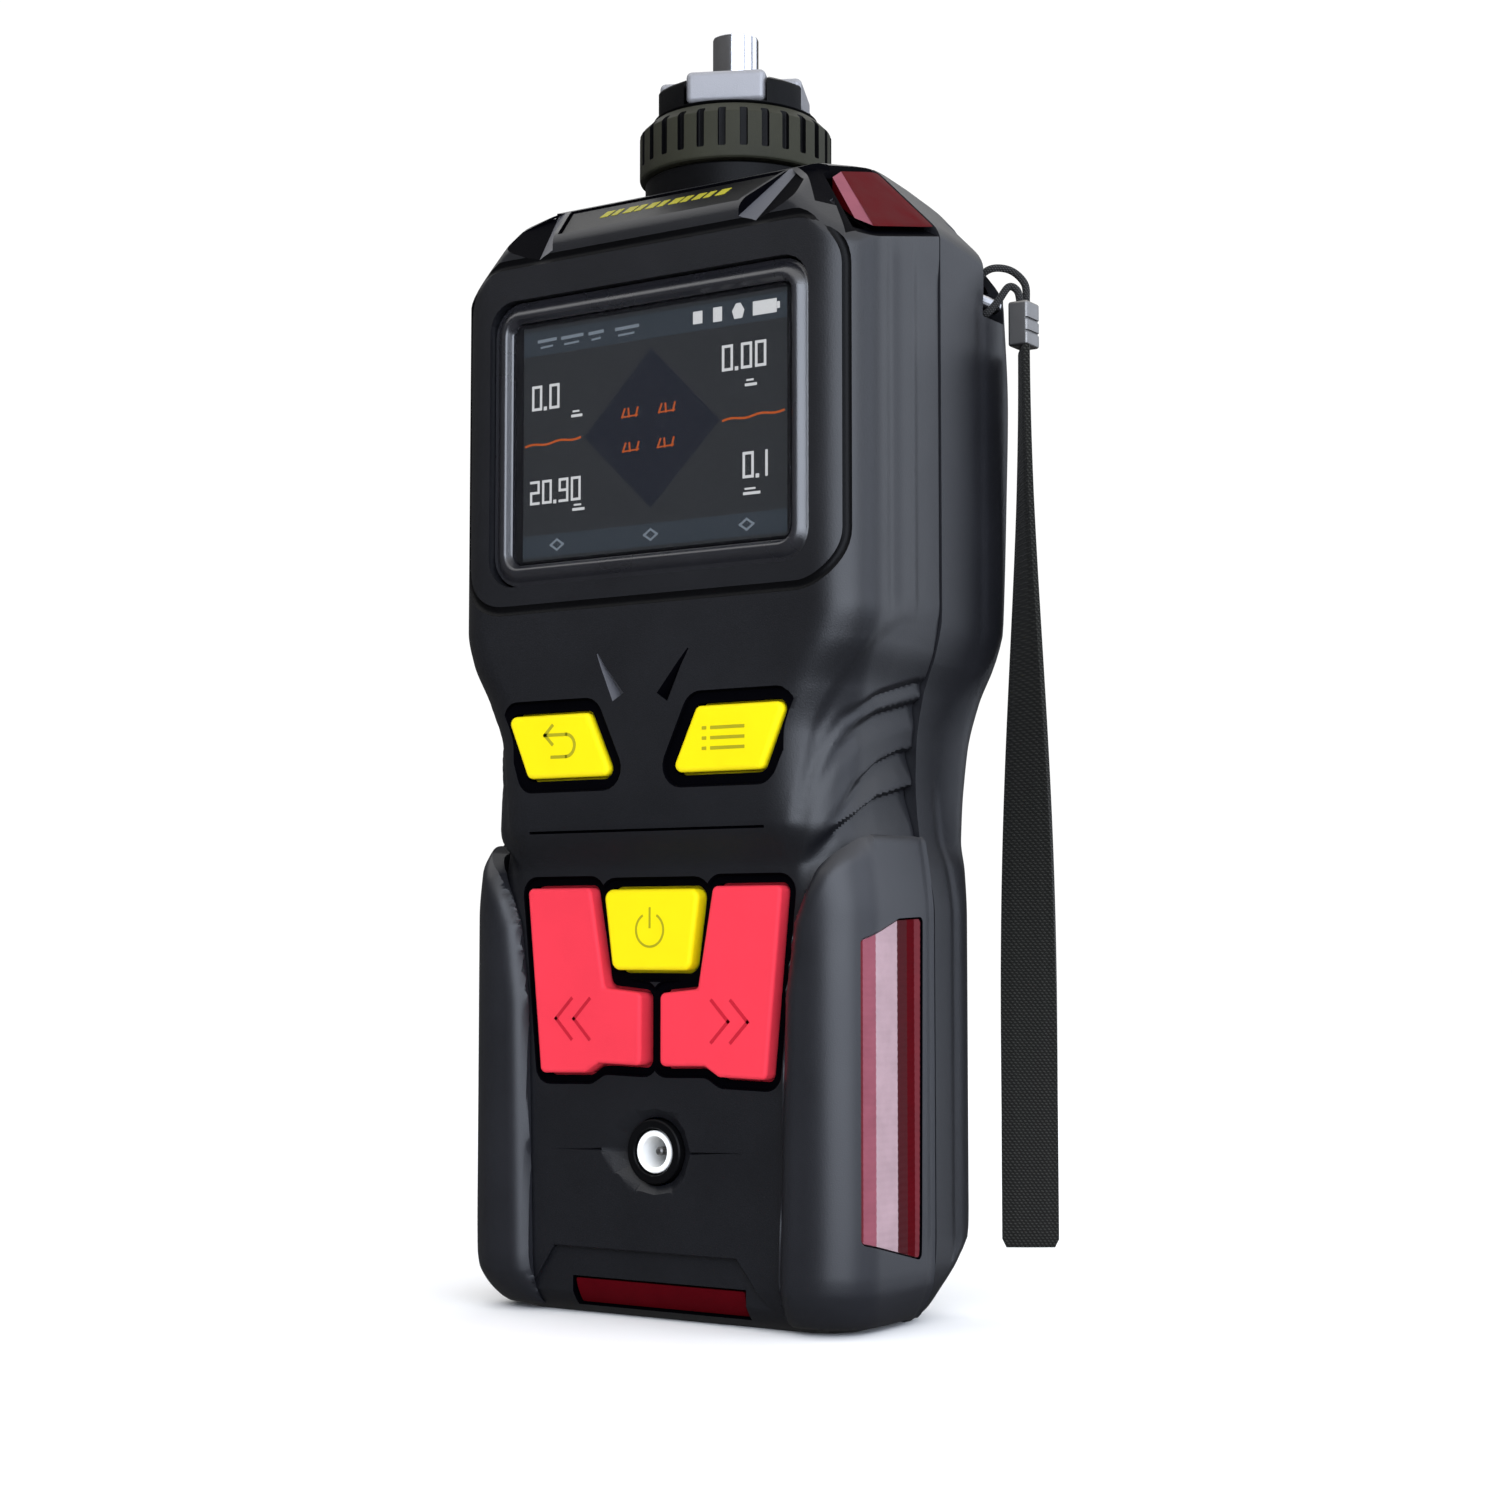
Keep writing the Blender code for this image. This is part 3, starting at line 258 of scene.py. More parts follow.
CASE = moulded("case_front", (0.0052, 0.0055, 0.0075), 0.42, grain_scale=4200.0, specular=0.45)
CASE_REAR = moulded("case_rear", (0.0065, 0.0068, 0.009), 0.46, grain_scale=4200.0, specular=0.45)
GRIP = moulded("grip_rubber", (0.0085, 0.009, 0.0122), 0.44, grain=0.00003, specular=0.5)
BLACK = moulded("black_plastic", (0.0022, 0.0022, 0.0026), 0.4, 0.2, specular=0.08)
# Near-black: painted shade in gaps, grooves, recesses and creases, and also the black border round the keys and the top
# lenses.
BORDER_BLACK_AND_SHADE = moulded("black_border_and_painted_shade", (0.0004, 0.0004, 0.0012), 0.7, 0.2, specular=0.02)
SEAL = moulded("seal_rubber", (0.004, 0.004, 0.004), 0.75, 0.2, specular=0.1)
# Lighter than the case plastic the rim is made of: a painted highlight.
RIM_HIGHLIGHT = moulded("display_rim_painted_highlight", (0.012, 0.012, 0.015), 0.28, specular=0.9)
YELLOW = moulded("yellow_key", (0.70, 0.57, 0.003), 0.5, 0.03, 0.00003, specular=0.08)
YELLOW_MARK = moulded("yellow_key_mark", (0.30, 0.27, 0.01), 0.6, 0.08, specular=0.05)
RED = moulded("red_key", (0.66, 0.034, 0.056), 0.5, 0.04, 0.00003, specular=0.08)
RED_MARK = moulded("red_key_mark", (0.40, 0.012, 0.025), 0.6, 0.08, specular=0.05)
RING = moulded("ring_plastic", (0.024, 0.024, 0.0165), 0.55, 0.15, specular=0.1)
LENS_RED = tinted("lens_red", (0.062, 0.0015, 0.0035), 0.45, 0.008)
# Paler and darker copies of the red lens: painted highlights and painted shade on the lens faces.
LENS_BRIGHT_HIGHLIGHT = tinted("lens_painted_bright_highlight", (0.31, 0.215, 0.235), 0.4, 0.05)
LENS_SOFT_HIGHLIGHT = tinted("lens_painted_soft_highlight", (0.11, 0.015, 0.02), 0.35, 0.03)
LENS_HIGHLIGHT = tinted("lens_painted_highlight", (0.20, 0.06, 0.08), 0.4, 0.02)
# Light grey: a painted highlight on the bevel beside each top lens and on the left slash below the display.
BEVEL = moulded("painted_highlight_bevel", (0.052, 0.053, 0.062), 0.45, grain_scale=4200.0, specular=0.3)
# Painted shade on the side lens.
LENS_SHADE = tinted("lens_painted_shade", (0.045, 0.004, 0.006), 0.4, 0.03)
WINDOW = tinted("display_window", (0.02, 0.02, 0.022), 0.04, 0.3, 0.22)
SCREEN_BLACK = moulded("screen_black", (0.002, 0.002, 0.003), 0.35, 0.1, specular=0.1)
BOARD = moulded("circuit_board", (0.012, 0.09, 0.035), 0.45, 0.25)
BATTERY = moulded("battery_wrap", (0.02, 0.06, 0.22), 0.35, 0.1)
STEEL = metal("steel", (0.52, 0.52, 0.54), 0.3)
SATIN = metal("satin_metal", (0.22, 0.215, 0.21), 0.42, (1.0, 1.0, 0.08))
HUB = moulded("hub_metal", (0.24, 0.24, 0.255), 0.42, 0.04, specular=0.4, metallic=0.3)
CHROME = metal("chrome", (0.66, 0.66, 0.69), 0.16, (1.0, 1.0, 0.1), 0.000008)
FILTER = moulded("filter_felt", (0.8, 0.8, 0.77), 0.9, 0.06, 0.0002, 1500.0)
TUBE = moulded("silicone_tube", (0.7, 0.7, 0.67), 0.4, 0.05)
WEBBING = woven("strap_webbing", (0.006, 0.006, 0.0052), (0.024, 0.024, 0.021))
WHITE_RING = moulded("socket_ring", (0.85, 0.85, 0.83), 0.35, 0.03)
LABEL_YELLOW = moulded("label_yellow", (0.30, 0.27, 0.02), 0.5, 0.15, specular=0.1)
BRAID = woven("cord_braid", (0.01, 0.01, 0.01), (0.05, 0.05, 0.05), 0.0003)
SCREEN_GROUND = glowing("screen_ground", linear("#2f3336"), 0.8)
SCREEN_BAR = glowing("screen_bar", linear("#3a454f"), 0.8)
SCREEN_DIAMOND = glowing("screen_diamond", linear("#0e1728"), 0.8)
SCREEN_ORANGE = glowing("screen_orange", linear("#d8641c"), 1.0)
SCREEN_WHITE = glowing("screen_white", (0.9, 0.92, 0.95), 1.1)
SCREEN_FAINT = glowing("screen_faint", linear("#9aa7b5"), 0.8)


# ---------------------------------------------------------------- shapes
def from_bmesh(name, bm, surface=None):
    bmesh.ops.recalc_face_normals(bm, faces=bm.faces[:])
    mesh = bpy.data.meshes.new(name)
    bm.to_mesh(mesh)
    bm.free()
    if surface:
        mesh.materials.append(surface)
    return linked(bpy.data.objects.new(name, mesh))


def drop(made):
    mesh = made.data
    bpy.data.objects.remove(made, do_unlink=True)
    if mesh.users == 0:
        bpy.data.meshes.remove(mesh)


def baked(made):
    """Applies every modifier of a mesh object."""
    shape = made.evaluated_get(bpy.context.evaluated_depsgraph_get())
    mesh = bpy.data.meshes.new_from_object(shape)
    old = made.data
    made.modifiers.clear()
    made.data = mesh
    bpy.data.meshes.remove(old)
    return made


def combine(target, other, operation="DIFFERENCE"):
    """Cuts, joins or intersects the target with a shape that is then gone. Its faces keep its material."""
    for solver in ("MANIFOLD", "EXACT"):
        step = target.modifiers.new(operation.lower(), "BOOLEAN")
        step.operation = operation
        step.object = other
        step.solver = solver
        step.material_mode = "TRANSFER"
        shape = target.evaluated_get(bpy.context.evaluated_depsgraph_get())
        mesh = bpy.data.meshes.new_from_object(shape)
        target.modifiers.remove(step)
        if len(mesh.polygons) and (solver == "EXACT" or not unchanged(mesh, target.data)):
            break
        if solver == "MANIFOLD":
            bpy.data.meshes.remove(mesh)
    old = target.data
    target.data = mesh
    bpy.data.meshes.remove(old)
    drop(other)
    return target


def cut(target, *cutters):
    for cutter in cutters:
        combine(target, cutter)


def unchanged(mesh, before):
    return len(mesh.polygons) == len(before.polygons) and len(mesh.vertices) == len(before.vertices)


def skin(bm, rings, cyclic=False):
    """Quads between rings of equal length, and the rings' vertices."""
    rows = [[bm.verts.new(Vector(point) * MM) for point in ring] for ring in rings]
    pairs = zip(rows, rows[1:] + rows[:1]) if cyclic else zip(rows, rows[1:])
    for lower, upper in pairs:
        for index in range(len(lower)):
            bm.faces.new((lower[index - 1], lower[index], upper[index], upper[index - 1]))
    return rows


def solid(bm, rings):
    """A skin through rings, closed by a face at each end."""
    rows = skin(bm, rings)
    bm.faces.new(rows[0])
    bm.faces.new(list(reversed(rows[-1])))
    return rows


def loft(name, rings, surface=None):
    bm = bmesh.new()
    solid(bm, rings)
    return from_bmesh(name, bm, surface)


def stack(name, layers, surface=None):
    """A loft through outlines in X and Z, each at its own Y."""
    return loft(name, [[(x, y, z) for x, z in outline] for outline, y in layers], surface)


def block(name, low, high, surface=None, bevel=0.0, segments=3):
    low = Vector(low) * MM
    high = Vector(high) * MM
    bm = bmesh.new()
    place = Matrix.Translation((low + high) / 2) @ Matrix.Diagonal((*(high - low), 1.0))
    bmesh.ops.create_cube(bm, size=1.0, matrix=place)
    if bevel:
        bmesh.ops.bevel(bm, geom=bm.edges[:], offset=bevel * MM, segments=segments, affect="EDGES", profile=0.5)
    return from_bmesh(name, bm, surface)


def turned(name, profile, centre, surface=None, steps=96, axis="Z", closed=False):
    """A profile of radius and height turned about an axis through the centre."""
    bm = bmesh.new()
    columns = []
    for step in range(steps):
        angle = 2 * math.pi * step / steps
        columns.append([(r * math.cos(angle), r * math.sin(angle), h) for r, h in profile])
    turn = Matrix.Rotation({"Z": 0.0, "-Y": math.pi / 2, "Y": -math.pi / 2}[axis], 3, "X")
    middle = Vector(centre)
    rows = [[bm.verts.new((turn @ Vector(p) + middle) * MM) for p in column] for column in columns]
    for first, second in zip(rows, rows[1:] + rows[:1]):
        last = len(profile) if closed else len(profile) - 1
        for index in range(last):
            after = (index + 1) % len(profile)
            bm.faces.new((first[index], first[after], second[after], second[index]))
    bmesh.ops.remove_doubles(bm, verts=bm.verts[:], dist=1e-8)
    bmesh.ops.dissolve_degenerate(bm, edges=bm.edges[:], dist=1e-8)
    return from_bmesh(name, bm, surface)


def rounded(corners, radius, steps=6):
    """A closed outline with an arc at each corner."""
    outline = []
    count = len(corners)
    for index, corner in enumerate(corners):
        here = Vector(corner)
        back = (Vector(corners[index - 1]) - here).normalized()
        ahead = (Vector(corners[(index + 1) % count]) - here).normalized()
        half = back.angle(ahead) / 2
        centre = here + (back + ahead).normalized() * radius / math.sin(half)
        start = here + back * radius / math.tan(half) - centre
        end = here + ahead * radius / math.tan(half) - centre
        sweep = math.atan2(start.x * end.y - start.y * end.x, start.dot(end))
        for step in range(steps + 1):
            angle = sweep * step / steps
            x = start.x * math.cos(angle) - start.y * math.sin(angle)
            y = start.x * math.sin(angle) + start.y * math.cos(angle)
            outline.append((centre.x + x, centre.y + y))
    return outline


def grown(corners, distance):
    """The corners of an outline whose sides are all moved out by a distance."""
    count = len(corners)
    area = sum(corners[i - 1][0] * corners[i][1] - corners[i][0] * corners[i - 1][1] for i in range(count))
    turn = 1.0 if area > 0 else -1.0
    moved = []
    for index in range(count):
        here = Vector(corners[index])
        first = (here - Vector(corners[index - 1])).normalized()
        second = (Vector(corners[(index + 1) % count]) - here).normalized()
        normal_a = Vector((first.y, -first.x)) * turn
        normal_b = Vector((second.y, -second.x)) * turn
        middle = (normal_a + normal_b).normalized()
        moved.append(tuple(here + middle * distance / middle.dot(normal_a)))
    return moved


def mirrored(corners):
    return [(-x, z) for x, z in corners]


def rectangle(half_width, half_height, centre_x=0.0, centre_z=0.0):
    return [(centre_x - half_width, centre_z - half_height), (centre_x + half_width, centre_z - half_height),
            (centre_x + half_width, centre_z + half_height), (centre_x - half_width, centre_z + half_height)]


def ease(value, low, high):
    """0 below low, 1 above high, smooth between."""
    share = min(max((value - low) / (high - low), 0.0), 1.0)
    return share * share * (3 - 2 * share)


def smooth_shade(made, angle=32.0, weighted=True):
    made.data.shade_smooth()
    made.data.set_sharp_from_angle(angle=math.radians(angle))
    if weighted:
        step = made.modifiers.new("weighted", "WEIGHTED_NORMAL")
        step.keep_sharp = True
        step.weight = 60
    return made


def piece(made, body, slot, *nodes, angle=32.0, weighted=True):
    """Shades a finished piece and ties it to its body and the nodes it stands for; its slot is not used."""
    if made.type == "MESH":
        smooth_shade(made, angle, weighted)
    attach(made, body)
    if nodes:
        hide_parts(*nodes)
    return made


# ---------------------------------------------------------------- case surfaces
def slopes(stations, column):
    """Slopes of a curve that passes through the stations and never overshoots."""
    heights = [row[0] for row in stations]
    values = [row[column] for row in stations]
    steps = [(values[i + 1] - values[i]) / (heights[i + 1] - heights[i]) for i in range(len(values) - 1)]
    result = [steps[0]]
    for before, after in zip(steps, steps[1:]):
        result.append(0.0 if before * after <= 0 else 2 * before * after / (before + after))
    return result + [steps[-1]]


class Outline:
    """Half width, face plane and corner radius of a case half at any height."""

    def __init__(self, stations):
        self.stations = stations
        self.slopes = [slopes(stations, column) for column in (1, 2, 3)]

    def at(self, height):
        rows = self.stations
        height = min(max(height, rows[0][0]), rows[-1][0])
        index = 0
        while index < len(rows) - 2 and height > rows[index + 1][0]:
            index += 1
        low, high = rows[index], rows[index + 1]
        width = high[0] - low[0]
        t = (height - low[0]) / width
        found = []
        for column in (1, 2, 3):
            slope_low = self.slopes[column - 1][index] * width
            slope_high = self.slopes[column - 1][index + 1] * width
            a = (2 * t ** 3 - 3 * t ** 2 + 1) * low[column] + (t ** 3 - 2 * t ** 2 + t) * slope_low
            b = (-2 * t ** 3 + 3 * t ** 2) * high[column] + (t ** 3 - t ** 2) * slope_high
            found.append(a + b)
        return found


SIDE_STEPS = 22
ARC_STEPS = 24
FACE_STEPS = 72


def crowded(share):
    """Spreads steps along the face so that they stand closer together near its ends."""
    return share - 0.1 * math.sin(2 * math.pi * share)


def ring_places():
    """Where each point of a half ring lies: which stretch, how far along it, and on which side."""
    places = [("side", step / SIDE_STEPS, -1.0) for step in range(SIDE_STEPS)]
    places += [("arc", step / ARC_STEPS, -1.0) for step in range(ARC_STEPS)]
    places += [("face", crowded(step / FACE_STEPS), 1.0) for step in range(FACE_STEPS)]
    places += [("arc", 1 - step / ARC_STEPS, 1.0) for step in range(ARC_STEPS)]
    places += [("side", 1 - step / SIDE_STEPS, 1.0) for step in range(SIDE_STEPS + 1)]
    return places


PLACES = ring_places()


def ring_point(outline, place, height, end_y, inset=0.0):
    """A point of the half ring and the outward direction there, both in X and Y."""
    kind, share, hand = place
    half_width, face_y, radius = outline.at(height)
    side = 1.0 if face_y > end_y else -1.0
    half_width -= inset
    face_y -= side * inset
    radius = max(radius - inset, 0.05)
    turn_y = face_y - side * radius
    if side * (turn_y - end_y) < 0.02:
        turn_y = end_y + side * 0.02
        radius = max(side * (face_y - turn_y), 0.01)
    if kind == "side":
        return Vector((hand * half_width, end_y + (turn_y - end_y) * share)), Vector((hand, 0.0))
    if kind == "face":
        x = -(half_width - radius) + 2 * (half_width - radius) * share
        return Vector((x, turn_y + side * radius)), Vector((0.0, side))
    angle = math.pi / 2 * share
    direction = Vector((hand * math.cos(angle), side * math.sin(angle)))
    return Vector((hand * (half_width - radius), turn_y)) + direction * radius, direction


def plane_height(points, x, y):
    """Height of the plane through three points above a place, its X taken as positive."""
    a, b, c = (Vector(p) for p in points)
    normal = (b - a).cross(c - a)
    return a.z - (normal.x * (x - a.x) + normal.y * (y - a.y)) / normal.z


def soft_low(a, b, blend):
    """The lower of two heights, with the crease between them rounded."""
    share = max(blend - abs(a - b), 0.0) / blend
    return min(a, b) - share * share * blend / 4


def roof_height(x, y, blend=1.2):
    height = 200.0
    for plane in ROOF_PLANES:
        height = soft_low(height, plane_height(plane, abs(x), y), blend)
    return height


def levels(*spans):
    """Heights from several spans, each given as start, end and step."""
    found = []
    for start, end, step in spans:
        count = max(1, round((end - start) / step))
        found += [start + (end - start) * k / count for k in range(count)]
    return found + [spans[-1][1]]


ROOF_EDGE = 1.3
ROOF_RINGS = 22
ROOF_MIDDLE = 0.4
COLUMN_FROM = 150.0
COLUMN_STEPS = 8


def case_half(name, stations, end_y, heights, carve=None, surface=None, roof=True, inset=0.0):
    """A fine, solid half of the case.

    Rings go up to COLUMN_FROM, then in equal steps to the roof. There each ring's edge is rounded, and
    further rings shrink over the roof to ROOF_MIDDLE from the parting plane.
    """
    outline = Outline(stations)
    rings = []

    def placed(place, height, inward=0.0):
        point, outward = ring_point(outline, place, height, end_y, inward + inset)
        if carve and not inward:
            point = point + outward * carve(place, point.x, point.y, height)
        return point

    for height in heights:
        if roof and height >= COLUMN_FROM:
            break
        rings.append([(*placed(place, height), height) for place in PLACES])
    if roof:
        tops = []
        for place in PLACES:
            top = COLUMN_FROM + 5
            for _ in range(4):
                point = placed(place, top)
                top = roof_height(point.x, point.y) - inset - ROOF_EDGE
            tops.append(top)
        for step in range(COLUMN_STEPS + 1):
            column = [COLUMN_FROM + (top - COLUMN_FROM) * step / COLUMN_STEPS for top in tops]
            rings.append([(*placed(place, height), height) for place, height in zip(PLACES, column)])
        deep = abs(stations[-1][2] - end_y)
        angles = [math.radians(angle) for angle in (22.5, 45.0, 67.5, 90.0)]
        steps = [(ROOF_EDGE * (1 - math.cos(angle)), ROOF_EDGE * (1 - math.sin(angle))) for angle in angles]
        steps += [(ROOF_EDGE + (deep - ROOF_EDGE - ROOF_MIDDLE) * step / ROOF_RINGS, 0.0)
                  for step in range(1, ROOF_RINGS)]
        for inward, lowered in steps:
            ring = []
            for place, top in zip(PLACES, tops):
                point, _ = ring_point(outline, place, top, end_y, inward + inset)
                ring.append((point.x, point.y, roof_height(point.x, point.y) - inset - lowered))
            rings.append(ring)
    bm = bmesh.new()
    rows = [[bm.verts.new(Vector(point) * MM) for point in ring] for ring in rings]
    for lower, upper in zip(rows, rows[1:]):
        for index in range(1, len(lower)):
            bm.faces.new((lower[index - 1], lower[index], upper[index], upper[index - 1]))
    bm.faces.new(rows[0])
    bm.faces.new(rows[-1])
    bm.faces.new([row[0] for row in rows] + [row[-1] for row in reversed(rows)])
    bmesh.ops.remove_doubles(bm, verts=bm.verts[:], dist=2e-6)
    bmesh.ops.triangulate(bm, faces=[f for f in bm.faces if len(f.verts) > 4])
    bmesh.ops.dissolve_degenerate(bm, edges=bm.edges[:], dist=1e-7)
    return from_bmesh(name, bm, surface)


FRONT_END = PARTING_Y - GAP / 2
REAR_END = PARTING_Y + GAP / 2
INSIDE_LEVELS = levels((WALL, 9, 2.0), (9, 150, 4.0))
INNER_EDGE = [(22.4, 0.9), (23.6, 48.0), (24.4, 53.5), (25.1, 59.0), (26.9, 63.3), (29.4, 67.0), (32.8, 70.2),
              (34.4, 72.2), (36.5, 74.0), (42.0, 75.0)]

# Finger ribs at the waist. Each line gives heights at distances round the case from the parting line,
# then the rib's depth, the drop over which it fades, and the distances where its end starts and is gone
RIB_SOFT = [(0.0, 104.4), (10.6, 103.7), (18.1, 99.0), (20.0, 95.3), (21.7, 91.1), (23.3, 85.4), (24.5, 79.6),
            (27.0, 69.7)]
RIB_LINES = [
    ([(0.0, 95.5), (2.1, 95.3), (11.9, 92.8), (18.8, 89.5), (23.2, 82.5), (26.0, 75.0)], 0.65, 2.6, (14.0, 29.0)),
    ([(0.0, 92.5), (11.0, 90.0), (15.5, 88.2), (19.5, 84.7), (23.5, 78.0), (26.0, 71.0)], 1.0, 4.6, (12.0, 28.0)),
    ([(0.0, 85.2), (4.0, 84.6), (9.7, 82.8), (12.4, 81.4), (16.0, 79.1), (21.0, 73.5), (24.0, 68.0)], 1.25, 5.6,
     (13.0, 27.0)),
    ([(0.0, 79.6), (9.9, 77.6), (15.2, 75.2), (18.8, 73.2), (23.0, 70.4), (27.0, 66.0)], 1.45, 8.0, (21.0, 28.0))]


def along(points, place):
    """The value at a place on a broken line of (place, value) points."""
    if place <= points[0][0]:
        return points[0][1]
    for low, high in zip(points, points[1:]):
        if place <= high[0]:
            return low[1] + (high[1] - low[1]) * (place - low[0]) / (high[0] - low[0])
    return points[-1][1] + (points[-1][1] - points[-2][1]) / (points[-1][0] - points[-2][0]) * (place - points[-1][0])


def round_distance(outline, place, height):
    """Distance round the case from the parting line."""
    kind, share, hand = place
    half_width, face_y, radius = outline.at(height)
    side = abs(face_y - PARTING_Y) - radius
    if kind == "side":
        return side * share
    if kind == "arc":
        return side + radius * math.pi / 2 * share
    inner = half_width - radius
    x = abs(-inner + 2 * inner * share)
    return side + radius * math.pi / 2 + inner - x


FRONT_OUTLINE = Outline(FRONT_STATIONS)
DEEPEST_RELIEF = -1.55


def front_relief(place, x, y, z):
    """Details of the front half, as a distance along the outward direction: the hollow and the step on
    the sides of the head, and the finger ribs at the waist."""
    out = 0.0
    if place[0] == "side":
        fade = ease(z, 101.0, 108.0) * (1 - ease(z, 155.0, 160.0))
        out -= fade * 0.32 * math.exp(-((y + 12.9) / 1.5) ** 2)
        out -= fade * 0.28 * ease(y, -6.6, -5.7)
    if 62.0 < z < 108.0:
        s = round_distance(FRONT_OUTLINE, place, z)
        if s < 30.0:
            below = along(RIB_SOFT, s) - z
            out -= 0.4 * ease(below, -2.5, 1.5) * (1 - ease(below, 2.0, 12.0)) * (1 - ease(s, 22.0, 29.0))
            for line, depth, run, (keep, gone) in RIB_LINES:
                below = along(line, s) - z
                blunt = ease(s, keep - 4.0, gone)
                fall = ease(below, -0.15 - 1.2 * blunt, 0.55 + 1.6 * blunt)
                rise = 1 - ease(below, 0.5 + 1.2 * blunt, run)
                out -= depth * fall * rise * (1 - ease(s, keep - 4.0, gone - 1.0))
    return max(out, DEEPEST_RELIEF)


def edge_distance(x, z):
    """Distance from a place on the grip's outline, in X and Z, to the outline's inner edge."""
    here = Vector((abs(x), z))
    best = 99.0
    for (x1, z1), (x2, z2) in zip(INNER_EDGE, INNER_EDGE[1:]):
        start, end = Vector((x1, z1)), Vector((x2, z2))
        run = end - start
        share = min(max((here - start).dot(run) / run.length_squared, 0.0), 1.0)
        best = min(best, (here - start - run * share).length)
    return best


GRIP_OUTLINE = Outline(GRIP_STATIONS)


def grip_relief(place, x, y, z):
    """The grip thins towards its inner edge, and its lower end turns in with a soft edge."""
    out = 0.0
    far = edge_distance(x, z)
    reach = 3.0 if place[0] != "side" else 1.2
    if far < reach:
        here, _ = ring_point(GRIP_OUTLINE, place, z, FRONT_END)
        core, _ = ring_point(FRONT_OUTLINE, place, z, FRONT_END)
        thick = (here - core).length
        out -= max(thick - 0.6, 0.0) * (1 - math.sqrt(max(0.0, 1 - (1 - far / reach) ** 2)))
    if place[0] == "side":
        out -= 0.22 * math.exp(-((y + 0.2) / 0.5) ** 2)
    return out


def notch(name, start, end, width, depth, face_y, surface):
    """A V cut along a line on a face, which widens and deepens from its start to its end."""
    start, end = Vector(start), Vector(end)
    across = Vector((-(end - start).y, (end - start).x)).normalized()
    bm = bmesh.new()
    low = [(start + across * width * 0.12), (start - across * width * 0.12)]
    high = [(end - across * width / 2), (end + across * width / 2)]
    top = [bm.verts.new(Vector((p.x, face_y - 0.6, p.y)) * MM) for p in low + high]
    root_a = bm.verts.new(Vector((start.x, face_y + depth * 0.2, start.y)) * MM)
    root_b = bm.verts.new(Vector((end.x, face_y + depth, end.y)) * MM)
    a, b, c, d = top
    for corners in ((a, b, c, d), (b, a, root_a), (d, c, root_b), (a, d, root_b, root_a), (c, b, root_a, root_b)):
        bm.faces.new(corners)
    return from_bmesh(name, bm, surface)


def opening(shell, name, corners, radius, face_y, moat, gap=0.45):
    """Cuts a key's opening: a sunk border round a straight hole, near-black as a black key skirt with painted shade in
    its gap.
    """
    steps = ((moat + 0.35, face_y - 0.5), (moat + 0.3, face_y - 0.02), (moat + 0.12, face_y + 0.1),
             (moat, face_y + 0.55))
    for part, layers in ((name, steps), (name + "_hole", ((gap, face_y - 0.2), (gap, -15.0)))):
        combine(shell, stack(part, [(rounded(grown(corners, more), radius + more), y) for more, y in layers], BORDER_BLACK_AND_SHADE))


MENU_CAP = grown(MENU_OUTLINE, -0.35)
# Outlines of each key's cap and opening, corner radius, and whether it lies on the head
KEYS = {"menu": (MENU_CAP, MENU_CAP, 1.1, True), "back": (mirrored(MENU_CAP), mirrored(MENU_CAP), 1.1, True),
        "next": (NEXT_OUTLINE, NEXT_OPENING, 0.9, False),
        "previous": (mirrored(NEXT_OUTLINE), mirrored(NEXT_OPENING), 0.9, False),
        "power": (POWER_OUTLINE, POWER_OUTLINE, 1.4, False)}
LEDGE_OUTLINE = [(-18.9, 10.2), (14.5, 10.2), (22.6, 0.2), (22.6, -1.0), (-23.0, -1.0), (-23.0, 4.0)]
EYE = [(-10.3, 25.1), (-7.2, 28.4), (-3.4, 30.9), (0.0, 31.5), (3.4, 30.9), (5.4, 28.6), (6.6, 25.1), (5.4, 21.6),
       (3.4, 19.3), (0.0, 18.7), (-3.4, 19.3), (-7.2, 21.8)]


def scaled(outline, factor, centre):
    return [(centre[0] + (x - centre[0]) * factor, centre[1] + (z - centre[1]) * factor) for x, z in outline]


ABOVE_ALL_Z = 190.0


def raised(name, low, surface):
    """A cutter that goes straight up from a ring of points."""
    return loft(name, [low, [(x, y, ABOVE_ALL_Z) for x, y, z in low]], surface)


def top_lens_space(name, sign, inset, surface):
    """The space over the sloping floor of a top lens. A negative inset makes it wider and deeper."""
    outline = grown(TOP_LENS_OUTLINE, -inset)
    if inset > 0:
        outline = [(x, min(y, FRONT_END - inset)) for x, y in outline]
    low = [(sign * x, y, 158.8 + inset + 0.55 * (37.5 - x) + 0.23 * (y + 19.4)) for x, y in outline]
    return raised(name, low, surface)


def side_plate(name, outline, sign, surface):
    """An outline in Y and Z carried across one side of the case."""
    return loft(name, [[(sign * x, y, z) for y, z in outline] for x in (27.0, 42.0)], surface)


def slope_height(y):
    """Height of the sloping plane that carries the label."""
    return plane_height(ROOF_SLOPE, 0.0, y)


def ear_groove(name, sign):
    """The V groove between the label and the corner that carries a top lens: a bevel with a painted highlight and a
    facet with painted shade.
    """
    ends = [[(16.4, -25.75, 160.9), (19.4, -25.65, 159.3), (20.7, -25.65, 160.0)],
            [(21.0, -15.0, 171.9), (22.6, -15.2, 171.2), (28.6, -22.5, 166.3)]]
    rows = []
    for bevel, valley, ear in ends:
        above = [(point[0], point[1], point[2] + 9.0) for point in (bevel, ear)]
        rows.append([(sign * x, y, z) for x, y, z in (above[0], bevel, valley, ear, above[1])])
    bm = bmesh.new()
    low, _ = solid(bm, rows)
    for face in bm.faces:
        # The bevel face takes the painted highlight, every other face the painted shade.
        face.material_index = 0 if {low[1], low[2]} <= set(face.verts) and len(face.verts) == 4 else 1
    made = from_bmesh(name, bm, BEVEL)
    made.data.materials.append(BORDER_BLACK_AND_SHADE)
    return made


GROOVE_HALF = (34.9, 27.3)
GROOVE_Z = 134.7
GROOVE_RADIUS = 0.9


